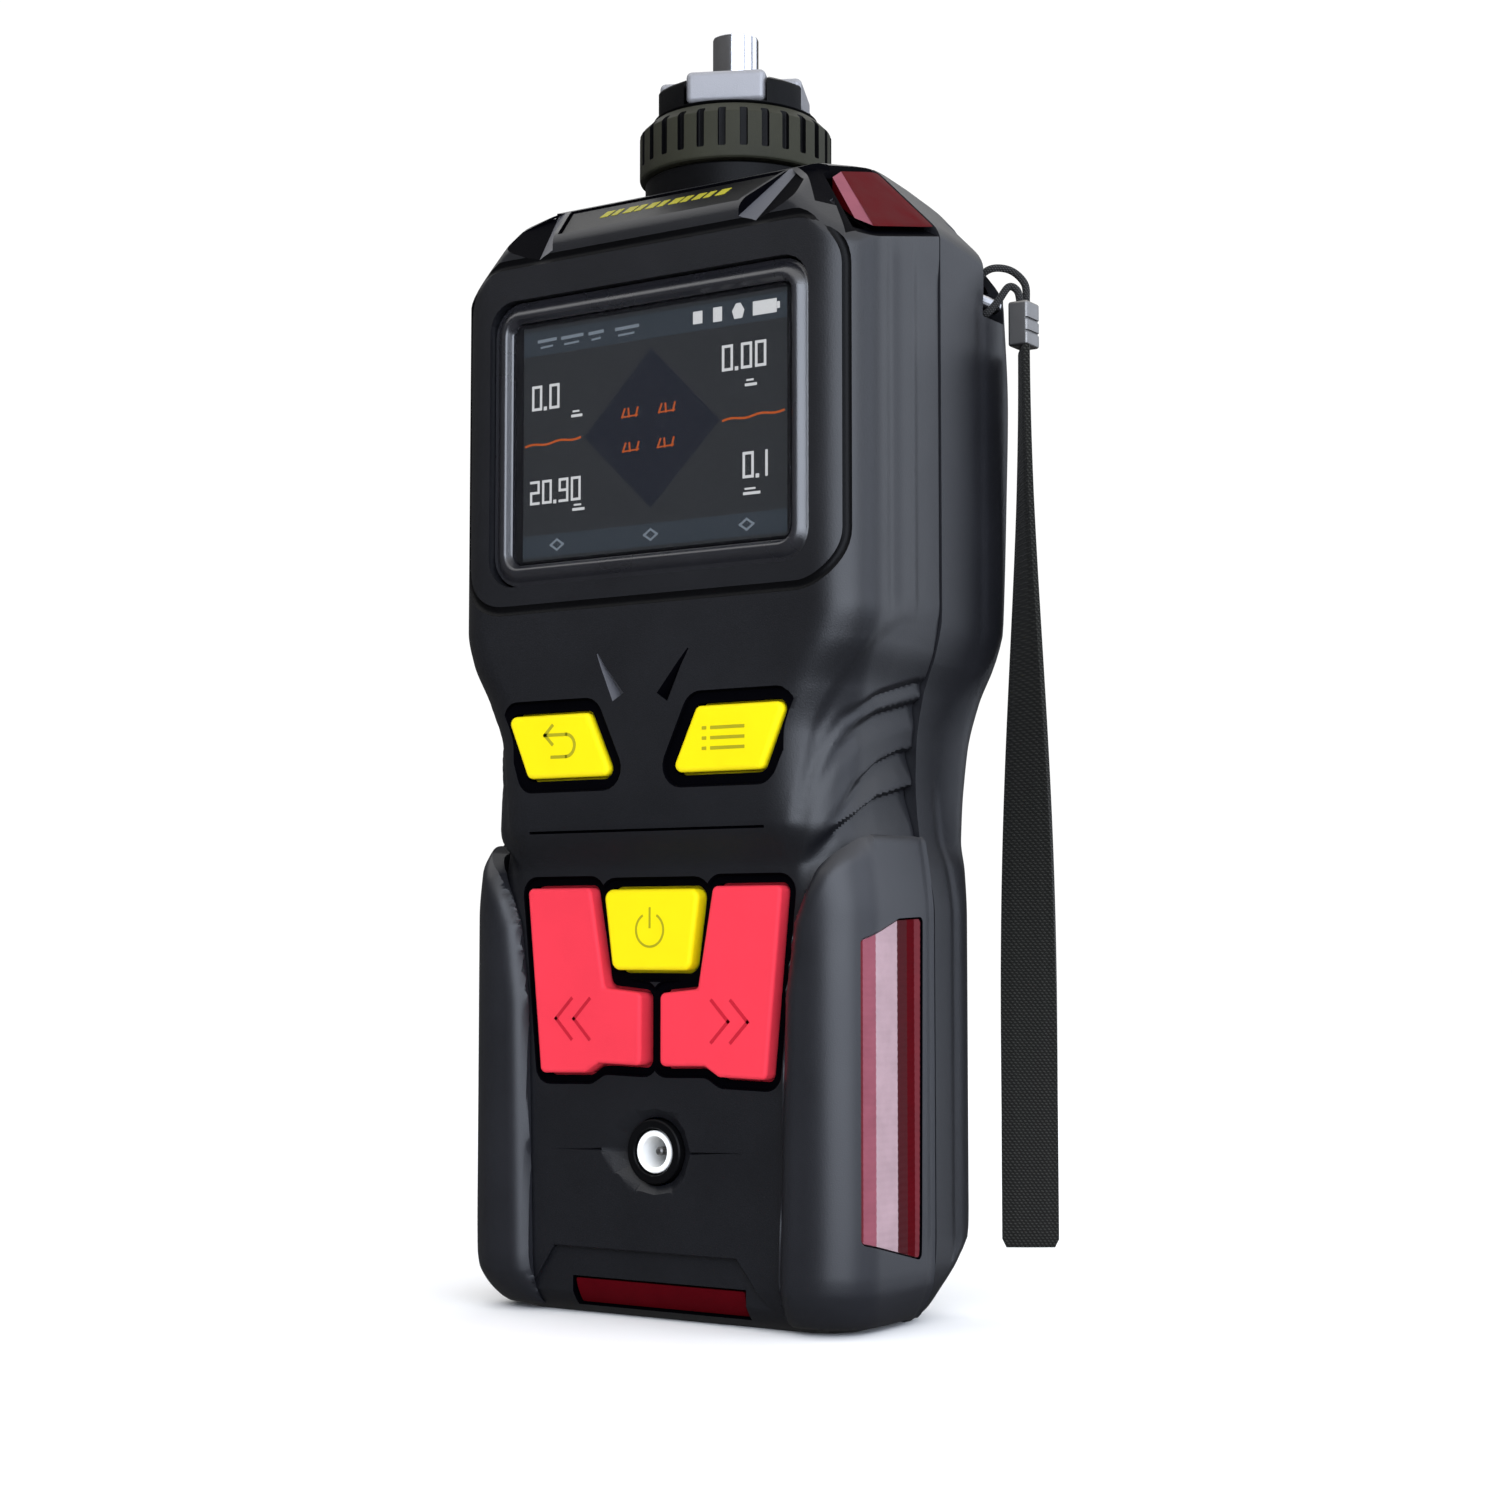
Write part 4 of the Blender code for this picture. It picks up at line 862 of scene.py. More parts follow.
def groove_loop():
    """The soft groove that runs round the display, following the rounded sides of the head. Its faces take the black
    colour as painted shade.
    """
    outline = rounded(rectangle(*GROOVE_HALF, 0, GROOVE_Z), 8.0, 12)
    _, half_width, _, radius = FRONT_STATIONS[-1]
    flat = half_width - radius
    centres, outwards = [], []
    for x, z in outline:
        lean = min(max((abs(x) - flat) / radius, 0.0), 0.98)
        outward = Vector((math.copysign(lean, x), -math.sqrt(1 - lean * lean), 0.0))
        turn = Vector((math.copysign(min(abs(x), flat), x), HEAD_FRONT_Y + radius, z))
        centres.append(turn + outward * (radius + 0.5))
        outwards.append(outward)
    rings = []
    for index, (centre, outward) in enumerate(zip(centres, outwards)):
        ahead = (centres[(index + 1) % len(centres)] - centres[index - 1]).normalized()
        across = ahead.cross(outward).normalized()
        angles = [2 * math.pi * step / 14 for step in range(14)]
        rings.append([centre + (outward * math.cos(a) + across * math.sin(a)) * GROOVE_RADIUS for a in angles])
    bm = bmesh.new()
    skin(bm, rings, True)
    return from_bmesh("groove_loop", bm, BLACK)


def ear_top(name, sign):
    """The sunk top of the corner that carries a top lens, coloured near-black as painted shade."""
    corners = [(22.2, -15.0), (26.4, -12.6), (33.2, -18.6), (29.4, -21.6)]
    low = [(sign * x, y, roof_height(x, y) - 0.4) for x, y in corners]
    return raised(name, low, BORDER_BLACK_AND_SHADE)


def along_diagonal(name, sign, inner, outer, floor_inner, floor_outer, surface):
    """A cutter along the slanting edge of a top lens, between two distances outward from that edge."""
    start, end = Vector((26.6, -12.8)), Vector((36.0, -19.4))
    run = (end - start).normalized()
    out = Vector((run.y, -run.x))
    start, end = start - run * 1.5, end + run * 0.1
    corners = [(start + out * inner, floor_inner), (end + out * inner, floor_inner),
               (end + out * outer, floor_outer), (start + out * outer, floor_outer)]
    low = [(sign * p.x, p.y, roof_height(p.x, p.y) - sunk) for p, sunk in corners]
    return raised(name, low, surface)


def neck_hole():
    return turned("neck_hole", [(0.0, 12.0), (14.8, 12.0), (14.8, -14.0), (0.0, -14.0)], (0, INLET_Y, 170.0), BLACK)


def cut_socket(shell):
    """An eye-shaped dip with a hole, and a short line on each side of it."""
    eye, centre = rounded(EYE, 0.8, 3), (0.0, SOCKET_Z)
    layers = [(scaled(eye, size, centre), PANEL_FRONT_Y + depth)
              for size, depth in ((1.02, -0.5), (1.0, -0.02), (0.86, 0.5), (0.62, 1.2))]
    cut(shell, stack("eye", layers, CASE),
        turned("socket_hole", [(0.0, 8.0), (5.1, 8.0), (5.1, -8.0), (0.0, -8.0)], (0, PANEL_FRONT_Y, SOCKET_Z),
               BLACK, 64, "-Y"),
        notch("groove_left", (-18.4, SOCKET_Z - 0.3), (-9.8, SOCKET_Z), 1.0, 0.45, PANEL_FRONT_Y, CASE),
        notch("groove_right", (15.6, SOCKET_Z + 0.4), (6.4, SOCKET_Z), 1.0, 0.45, PANEL_FRONT_Y, CASE))


def cut_front_marks(shell):
    """Slashes below the display, the ledge and slot at the foot, and the crease at the waist."""
    layers = [(grown(LEDGE_OUTLINE, more), PANEL_FRONT_Y + depth)
              for more, depth in ((0.25, -4.0), (0.25, -0.05), (0.0, 0.2), (0.0, 0.9))]
    # The two slashes are alike: the left one's walls take a painted highlight, the right one's painted shade. The
    # crease and the slot at the foot take near-black painted shade.
    cut(shell, notch("slash_left", (-8.3, 99.7), (-4.4, 92.9), 3.4, 1.3, HEAD_FRONT_Y, BEVEL),
        notch("slash_right", (8.4, 99.5), (3.7, 92.5), 3.4, 1.3, HEAD_FRONT_Y, BORDER_BLACK_AND_SHADE),
        stack("ledge", layers, CASE),
        block("crease", (-21.5, -24.5, 72.65), (21.5, -22.45, 73.05), BORDER_BLACK_AND_SHADE),
        block("bottom_slot", (-15.75, -23, 1.35), (15.75, -16.6, 5.85), BORDER_BLACK_AND_SHADE))


def cut_top(shell):
    """Seats of the label and the top lenses, the ears between them, and the side windows' recesses, their faces
    near-black as painted shade, with a black border round each top lens.
    """
    label = [[(x, y, slope_height(y) + lift) for x, y in grown(LABEL_OUTLINE, 0.15)] for lift in (-1.0, 6.0)]
    cut(shell, loft("label_slot", label, BORDER_BLACK_AND_SHADE))
    for side, sign in SIDES:
        near, far = sorted((sign * 33.0, sign * 36.0))
        cut(shell, ear_groove(f"ear_groove_{side}", sign), ear_top(f"ear_top_{side}", sign),
            along_diagonal(f"lens_border_{side}", sign, -0.5, 2.6, 0.8, 0.4, BORDER_BLACK_AND_SHADE),
            top_lens_space(f"top_space_{side}", sign, -0.9, BORDER_BLACK_AND_SHADE),
            block(f"side_recess_{side}", (near, -15.0, 11.0), (far, -2.4, 60.0), BORDER_BLACK_AND_SHADE))


def make_front_case():
    heights = levels((0, 9, 0.6), (9, 62, 1.4), (62, 107, 0.36), (107, 150, 2.0))
    shell = case_half("front_case", FRONT_STATIONS, FRONT_END, heights, front_relief, CASE)
    inside = case_half("front_inside", FRONT_STATIONS, PARTING_Y + 3, INSIDE_LEVELS, None, CASE, True, WALL)
    for sign in (-1, 1):
        near, far = sorted((sign * 16.5, sign * 29.5))
        cut(inside, block("ear_root", (near, -24.0, 158.0), (far, -14.0, 178.0)))
    frame_hole = rounded(rectangle(BEZEL_HALF[0] + 0.75, BEZEL_HALF[1] + 0.75, 0, DISPLAY_Z), 4.6)
    cut(shell, inside, groove_loop(), stack("frame_hole", [(frame_hole, -26.0), (frame_hole, -21.45)], CASE))
    for name, (_, corners, radius, upper) in KEYS.items():
        opening(shell, name, corners, radius, *((HEAD_FRONT_Y, 2.0) if upper else (PANEL_FRONT_Y, 1.5)))
    cut_socket(shell)
    cut_front_marks(shell)
    cut_top(shell)
    cut(shell, neck_hole())
    return piece(shell, "housing", "case_plastic", "front_shell", angle=30.0)


def rear_relief(place, x, y, z):
    """Grooves along the sides, and ribs across the back of the waist."""
    out = 0.0
    if place[0] == "side":
        low = 1 - ease(z, 76.0, 84.0)
        out -= low * 0.3 * math.exp(-((y - 7.4) / 0.9) ** 2) * ease(z, 2.0, 8.0)
        out -= 0.25 * math.exp(-((y - 14.0) / 1.2) ** 2) * ease(z, 98.0, 108.0) * (1 - ease(z, 154.0, 158.0))
    if place[0] == "face" and 66.0 < z < 98.0:
        wave = 0.5 + 0.5 * math.cos(2 * math.pi * (z - 70.0) / 5.2)
        out -= 0.55 * wave ** 2 * ease(z, 67.5, 70.0) * (1 - ease(z, 94.0, 97.0)) * (1 - ease(abs(x), 17.0, 22.0))
    return out


SCREW_PLACES = [(sign * x, z) for x, z in ((30.4, 148.0), (27.0, 90.0), (26.4, 15.0)) for sign in (-1, 1)]
SCREW_HEAD_Y = {148.0: 24.6, 90.0: 20.4, 15.0: 13.0}


def make_rear_case():
    heights = levels((0, 9, 0.6), (9, 66, 1.4), (66, 98, 0.5), (98, 150, 2.0))
    shell = case_half("rear_case", REAR_STATIONS, REAR_END, heights, rear_relief, CASE_REAR)
    cut(shell, case_half("rear_inside", REAR_STATIONS, PARTING_Y - 3, INSIDE_LEVELS, None, CASE_REAR, True, WALL))
    combine(shell, block("lanyard_block", (29.0, 12.4, 151.2), (36.4, 23.6, 158.6), CASE_REAR, 0.3), "UNION")
    cut(shell, block("lanyard_notch", (30.4, 14.8, 153.2), (40.0, 21.8, 170.0), CASE_REAR, 0.5),
        turned("pin_bore", [(0.0, 5.1), (1.3, 5.1), (1.3, -4.9), (0.0, -4.9)], (PIN_X, 18.1, PIN_Z), CASE_REAR,
               24, "Y"))
    for number, (x, z) in enumerate(SCREW_PLACES, 1):
        head = SCREW_HEAD_Y[z]
        for part, radius, near, far in (("seat", 4.2, -2.0, 1.2), ("way", 1.8, -4.0, 4.0), ("bore", 3.1, 0.0, 9.0)):
            shape = turned(f"screw_{part}_{number}", [(0.0, far), (radius, far), (radius, near), (0.0, near)],
                           (x, head, z), CASE_REAR, 32, "Y")
            combine(shell, shape, "UNION" if part == "seat" else "DIFFERENCE")
    plate = rounded(rectangle(19.0, 15.0, 0, 128.0), 3.0)
    cut(shell, turned("exhaust_hole", [(0.0, 13.0), (3.3, 13.0), (3.3, 0.0), (0.0, 0.0)], (20, 20, 141), CASE_REAR,
                      32, "Y"),
        neck_hole(), stack("plate_recess", [(plate, 32.0), (plate, 27.6)], CASE_REAR))
    return piece(shell, "housing", "case_plastic", "rear_shell", angle=30.0)


def make_grips():
    outline = INNER_EDGE + [(42.0, 0.9)]
    fine = levels((0.9, 9, 0.5), (9, 54, 1.2), (54, 78, 0.4))
    for side, sign in SIDES:
        grip = case_half(f"grip_{side}", GRIP_STATIONS, FRONT_END, fine, grip_relief, GRIP, False)
        corners = [(sign * x, z) for x, z in outline]
        combine(grip, stack(f"grip_outline_{side}", [(corners, -30.0), (corners, FRONT_END + 2)], GRIP), "INTERSECT")
        core = case_half(f"grip_core_{side}", FRONT_STATIONS, FRONT_END + 4, levels((-1, 9, 0.8), (9, 100, 1.5)),
                         None, GRIP, False, -GAP)
        window = rounded(grown(SIDE_LENS_OUTLINE, GAP), 0.9)
        # The window round the side lens gets near-black faces, painted shade in the gap round the lens.
        cut(grip, core, side_plate(f"lens_window_{side}", window, sign, BORDER_BLACK_AND_SHADE))
        piece(grip, "housing", "grip_rubber", f"grip_pad_{side}", angle=34.0)


# A side lens has bands of painted highlight and painted shade from front to rear, parted at these places along Y. The
# last is like the first
LENS_SHADING_BANDS = (-18.0, -15.4, -9.5, -6.6, -4.4)
LENS_SHADING_SURFACES = (LENS_SOFT_HIGHLIGHT, LENS_HIGHLIGHT, LENS_BRIGHT_HIGHLIGHT, LENS_SHADE, LENS_RED)
PRISM_PITCH = 1.1


def lens_relief(place, x, y, z):
    """Fine prisms across the lens, which lies a little below the grip."""
    share = (z / PRISM_PITCH) % 1.0
    return -0.26 - 0.05 * abs(share - 0.5) * 2


def make_side_lenses():
    for side, sign in SIDES:
        lens = case_half(f"side_lens_{side}", GRIP_STATIONS, PARTING_Y, levels((5, 70, 0.225)), lens_relief,
                         LENS_BRIGHT_HIGHLIGHT, False)
        combine(lens, side_plate(f"lens_outline_{side}", rounded(SIDE_LENS_OUTLINE, 0.6), sign, LENS_RED),
                "INTERSECT")
        cut(lens, case_half(f"lens_core_{side}", FRONT_STATIONS, PARTING_Y + 2, levels((1, 9, 0.8), (9, 90, 1.5)),
                            None, LENS_RED, False, -GAP))
        lens.data.materials.clear()
        for surface in LENS_SHADING_SURFACES:
            lens.data.materials.append(surface)
        # Each band of faces takes a painted highlight or painted shade.
        for face in lens.data.polygons:
            band = sum(face.center.y / MM > edge for edge in LENS_SHADING_BANDS)
            face.material_index = band % len(LENS_SHADING_SURFACES)
        piece(lens, "housing", "red_lens", f"alarm_lens_side_{side}", angle=20.0, weighted=False)


def make_top_lenses():
    for side, sign in SIDES:
        lens = case_half(f"top_lens_{side}", FRONT_STATIONS, FRONT_END - 0.05, levels((140, 150, 2.0)), None,
                         LENS_RED, True, 0.1)
        combine(lens, top_lens_space(f"top_outline_{side}", sign, GAP, LENS_RED), "INTERSECT")
        # The bevel's cut faces take a painted highlight.
        cut(lens, along_diagonal(f"lens_bevel_{side}", sign, -2.3, 0.6, 0.12, 0.8, LENS_HIGHLIGHT))
        piece(lens, "housing", "red_lens", f"alarm_lens_top_{side}", angle=24.0)


def make_bottom_lens():
    lens = case_half("bottom_lens", FRONT_STATIONS, PARTING_Y - 2, levels((0.4, 12, 0.5)), None, LENS_RED, False, 0.9)
    combine(lens, block("bottom_outline", (-15.3, -23, 1.7), (15.3, -16.9, 5.5), LENS_RED, 0.3), "INTERSECT")
    piece(lens, "housing", "red_lens", "alarm_lens_bottom", angle=24.0)


def make_top_label():
    rows = [[(x, y, slope_height(y) + lift) for x, y in grown(LABEL_OUTLINE, -shrink)]
            for shrink, lift in ((0.3, -0.95), (0.3, -0.5), (0.45, -0.38))]
    piece(loft("top_plate", rows, BLACK), "housing", "black_plastic", "top_label", angle=20.0)
    bm = bmesh.new()
    for index in range(11):
        x = -11.6 + 2.16 * index
        width = (1.5, 1.15, 1.7, 1.3)[index % 4]
        corners = [(x, -19.1), (x + width, -19.1), (x + width + 0.3, -17.4), (x + 0.3, -17.4)]
        solid(bm, [[(cx, cy, slope_height(cy) + lift) for cx, cy in corners] for lift in (-0.4, -0.3)])
    piece(from_bmesh("label_dashes", bm, LABEL_YELLOW), "housing", "black_plastic")


# ---------------------------------------------------------------- display
def ring_between(name, outlines, surface):
    """A closed band through outlines, each at its own Y."""
    bm = bmesh.new()
    skin(bm, [[(x, y, z) for x, z in outline] for outline, y in outlines], True)
    return from_bmesh(name, bm, surface)


def make_rim():
    outer, inner = BEZEL_HALF, BEZEL_OPENING_HALF
    profile = [(-0.6, -21.7), (-0.6, -22.3), (0.0, -22.35), (0.25, -22.5), (0.8, -23.0), (1.3, -23.33), (1.75, -23.48),
               (2.1, -23.44), (2.4, -23.2), (2.62, -22.5)]
    layers = []
    for inset, y in profile:
        share = inset / (outer[0] - inner[0])
        half = (outer[0] - inset, outer[1] - share * (outer[1] - inner[1]))
        layers.append((rounded(rectangle(*half, 0, DISPLAY_Z), 4.2 - 2.2 * share - min(inset, 0.0) * 0.8), y))
    edge = rounded(rectangle(*inner, 0, DISPLAY_Z), 1.8)
    layers += [(edge, -22.3), (edge, -21.7)]
    piece(ring_between("display_frame", layers, RIM_HIGHLIGHT), "housing", "case_plastic", "display_bezel", angle=50.0)


SCREEN_HALF = (24.48, 18.36)
SCREEN_Y = -21.42


def flat_shape(bm, outline, front, back):
    """A thin plate added to a mesh, from an outline in X and Z."""
    solid(bm, [[(x, y, z) for x, z in outline] for y in (back, front)])


def graphic(name, outlines, surface, lift=0.0, thickness=0.03):
    bm = bmesh.new()
    for outline in outlines:
        flat_shape(bm, outline, SCREEN_Y - lift - thickness, SCREEN_Y - lift)
    return piece(from_bmesh(name, bm, surface), "housing", "display_module", weighted=False)


def stroke(points, width):
    """Outlines of the bars that follow a broken line."""
    bars = []
    for start, end in zip(points, points[1:]):
        a, b = Vector(start), Vector(end)
        along_line = (b - a).normalized() * width / 2
        across = Vector((-along_line.y, along_line.x))
        bars.append([tuple(a - along_line + across), tuple(a - along_line - across),
                     tuple(b + along_line - across), tuple(b + along_line + across)])
    return bars


SEGMENTS = {"0": "abcdef", "1": "bc", "2": "abged", "9": "abcdfg"}


def digit(symbol, x, z, width, height, weight):
    """The bars of one figure, its lower left corner at x, z."""
    ends = {"a": ((0, 1), (1, 1)), "b": ((1, 1), (1, 0.5)), "c": ((1, 0.5), (1, 0)), "d": ((1, 0), (0, 0)),
            "e": ((0, 0), (0, 0.5)), "f": ((0, 0.5), (0, 1)), "g": ((0, 0.5), (1, 0.5))}
    bars = []
    for name in SEGMENTS[symbol]:
        (x1, z1), (x2, z2) = ends[name]
        bars += stroke([(x + x1 * width, z + z1 * height), (x + x2 * width, z + z2 * height)], weight)
    return bars


def figures(text, x, z, size=1.0):
    """Bars of a number, its lower left corner at x, z."""
    width, height, weight, pitch = 1.55 * size, 3.5 * size, 0.42 * size, 2.5 * size
    bars = []
    for symbol in text:
        if symbol == ".":
            bars.append(rectangle(0.3 * size, 0.3 * size, x - 0.1 * size, z))
            x += 0.9 * size
        else:
            shift = 0.95 * size if symbol == "1" else 0.0
            bars += digit(symbol, x - shift, z, width, height, weight)
            x += pitch
    return bars


def wavy(x1, x2, z):
    points = [(x1 + (x2 - x1) * k / 14, z + 0.16 * math.sin(k * 0.9) + 0.03 * k) for k in range(15)]
    return stroke(points, 0.32)


def make_screen():
    half_width, half_height = SCREEN_HALF
    z = DISPLAY_Z
    top, bottom = z + half_height, z - half_height
    graphic("screen_ground", [rectangle(half_width, half_height, 0, z)], SCREEN_GROUND)
    graphic("screen_bars", [rectangle(half_width, 1.9, 0, top - 2.6), rectangle(half_width, 1.7, 0, bottom + 2.2)],
            SCREEN_BAR, 0.035)
    graphic("screen_diamond", [[(0, z - 12.1), (12.6, z), (0, z + 12.4), (-12.6, z)]], SCREEN_DIAMOND, 0.035)
    marks = wavy(-24.0, -13.4, z - 0.3) + wavy(13.2, 23.9, z - 0.3)
    for x, dz in ((-5.4, 2.3), (1.5, 2.3), (-5.2, -3.0), (1.3, -3.0)):
        for k in range(3):
            marks += stroke([(x + 1.3 * k, z + dz), (x + 1.3 * k + (0.5, -0.1, 0.35)[k], z + dz + 1.2)], 0.3)
        marks += stroke([(x, z + dz), (x + 2.9, z + dz + 0.1)], 0.22)
    graphic("screen_marks", marks, SCREEN_ORANGE, 0.07)
    white = figures("0.0", -22.6, z + 5.4) + figures("0.00", 13.2, z + 7.3) + figures("20.90", -22.9, z - 9.4, 0.95)
    white += figures("0.1", 16.9, z - 9.1)
    for x, dz, width in ((-14.9, 3.6, 1.7), (17.3, 4.6, 1.7), (-14.6, -11.0, 1.9), (17.0, -11.6, 2.6)):
        white += stroke([(x, z + dz), (x + width, z + dz)], 0.42)
        white += stroke([(x + 0.2, z + dz + 0.7), (x + width * 0.7, z + dz + 0.7)], 0.28)
    icons = [rectangle(0.85, 0.95, 8.6, top - 2.5), rectangle(0.8, 1.1, 12.2, top - 2.5),
             [(15.2, top - 3.6), (16.6, top - 3.6), (17.0, top - 2.4), (16.3, top - 1.3), (15.5, top - 1.3),
              (14.8, top - 2.4)], rectangle(2.1, 1.05, 20.6, top - 2.5), rectangle(0.25, 0.5, 23.0, top - 2.5)]
    graphic("screen_figures", white, SCREEN_WHITE, 0.07)
    graphic("screen_icons", icons, SCREEN_WHITE, 0.07)
    faint = []
    for x, width in ((-21.5, 3.2), (-16.9, 3.8), (-11.6, 2.4), (-6.5, 4.0)):
        faint += stroke([(x, top - 2.3), (x + width, top - 2.2)], 0.5)
        faint += stroke([(x + 0.5, top - 3.3), (x + width * 0.8, top - 3.2)], 0.3)
    for x in (-17.8, 0.0, 17.4):
        centre = bottom + 2.2
        faint += stroke([(x - 1.2, centre), (x, centre + 0.8), (x + 1.2, centre), (x, centre - 0.8), (x - 1.2, centre)],
                        0.32)
    graphic("screen_faint", faint, SCREEN_FAINT, 0.07)
    outer = rounded(rectangle(26.2, 19.4, 0, z), 1.6)
    inner = rounded(rectangle(half_width + 0.05, half_height + 0.05, 0, z), 0.15)
    border = [(outer, SCREEN_Y), (outer, SCREEN_Y - 0.1), (inner, SCREEN_Y - 0.1), (inner, SCREEN_Y)]
    piece(ring_between("screen_border", border, SCREEN_BLACK), "housing", "display_module", weighted=False)
    pane = rounded(rectangle(25.6, 18.8, 0, z), 1.5)
    window = [(pane, -21.72), (pane, -22.3), (rounded(rectangle(25.5, 18.7, 0, z), 1.4), -22.38)]
    piece(stack("window_pane", window, WINDOW), "housing", "clear_window", "display_window", angle=20.0)


# ---------------------------------------------------------------- keys
def key_cap(name, corners, radius, face_y, back_y, surface, crown):
    """A key with a rounded edge as deep as its crown, and a flange behind the case's wall."""
    layers = []
    for step in range(6):
        angle = math.pi / 2 * step / 5
        inset = crown * (1 - math.sin(angle))
        layers.append((rounded(grown(corners, -inset), max(radius - inset, 0.25)),
                       face_y + crown * (1 - math.cos(angle))))
    layers.append((rounded(corners, radius), back_y + GAP))
    flange = rounded(grown(corners, 0.9), radius + 0.9)
    layers += [(flange, back_y + GAP), (flange, back_y + GAP + 0.9)]
    return stack(name, layers, surface)


def raised_mark(name, outlines, face_y, surface, body, slot):
    bm = bmesh.new()
    for outline in outlines:
        flat_shape(bm, outline, face_y - 0.05, face_y + 0.1)
    return piece(from_bmesh(name, bm, surface), body, slot, weighted=False)


def arc_stroke(cx, cz, radius, start, end, width, steps=24):
    outline = []
    for r, order in ((radius + width / 2, 1), (radius - width / 2, -1)):
        points = []
        for step in range(steps + 1):
            angle = math.radians(start + (end - start) * step / steps)
            points.append((cx + r * math.cos(angle), cz + r * math.sin(angle)))
        outline += points[::order]
    return [outline]


UPPER_FACE_Y = -23.94
LOWER_FACE_Y = -21.4


def make_keys():
    for name in ("menu", "back", "power", "next", "previous"):
        corners, _, radius, upper = KEYS[name]
        face_y, back_y = (UPPER_FACE_Y, HEAD_FRONT_Y + WALL + 1.0) if upper else (LOWER_FACE_Y, PANEL_FRONT_Y + WALL)
        red = name in ("next", "previous")
        cap = key_cap(f"{name}_cap", corners, radius, face_y, back_y, RED if red else YELLOW, 0.6 if red else 0.75)
        piece(cap, f"{name}_key", "red_key" if red else "yellow_key", f"key_{name}")
    lines = (1.5, 0.0, -1.5)
    bars = [bar for dz in lines for bar in stroke([(12.9, 86.0 + dz), (18.4, 86.0 + dz)], 0.5)]
    bars += [bar for dz in lines for bar in stroke([(11.4, 86.0 + dz), (11.7, 86.0 + dz)], 0.5)]
    raised_mark("menu_mark", bars, UPPER_FACE_Y, YELLOW_MARK, "menu_key", "yellow_key")
    arrow = arc_stroke(-14.0, 86.0, 1.7, -90, 90, 0.5) + stroke([(-14.0, 87.7), (-18.0, 87.7)], 0.5)
    arrow += stroke([(-14.0, 84.3), (-16.6, 84.3)], 0.5) + stroke([(-16.6, 89.1), (-18.0, 87.7), (-16.6, 86.3)], 0.5)
    raised_mark("back_mark", arrow, UPPER_FACE_Y, YELLOW_MARK, "back_key", "yellow_key")
    power = arc_stroke(0.0, 58.0, 2.5, 120, 420, 0.34, 40) + stroke([(0.0, 58.4), (0.0, 61.2)], 0.34)
    raised_mark("power_mark", power, LOWER_FACE_Y, YELLOW_MARK, "power_key", "yellow_key")
    for name, sign in (("next", 1), ("previous", -1)):
        marks = []
        for x in (11.2, 14.6):
            marks += stroke([(sign * x, 47.6), (sign * (x + 2.9), 44.6), (sign * x, 41.6)], 0.5)
        raised_mark(f"{name}_mark", marks, LOWER_FACE_Y, RED_MARK, f"{name}_key", "red_key")


# ---------------------------------------------------------------- socket
def make_socket():
    centre = (0, PANEL_FRONT_Y, SOCKET_Z)
    port = [(0.0, -7.0), (3.45, -7.0), (3.45, 0.2), (3.6, 0.4), (4.6, 0.4), (4.8, 0.2), (4.8, -9.0), (0.0, -9.0)]
    piece(turned("port_body", port, centre, BLACK, 64, "-Y"), "housing", "black_plastic", "charge_port")
    sleeve = [(2.3, 0.0), (2.45, 0.2), (3.0, 0.2), (3.15, 0.0), (3.15, -6.6), (2.3, -6.6)]
    piece(turned("port_sleeve", sleeve, centre, WHITE_RING, 64, "-Y", True), "housing", "satin_metal", "charge_sleeve")
    pin = [(0.0, -1.0), (0.4, -1.0), (0.65, -1.25), (0.65, -6.6), (0.0, -6.6)]
    piece(turned("port_pin", pin, centre, SATIN, 24, "-Y"), "housing", "steel", "charge_pin")


# ---------------------------------------------------------------- sampling inlet
RING_SLOTS = 28


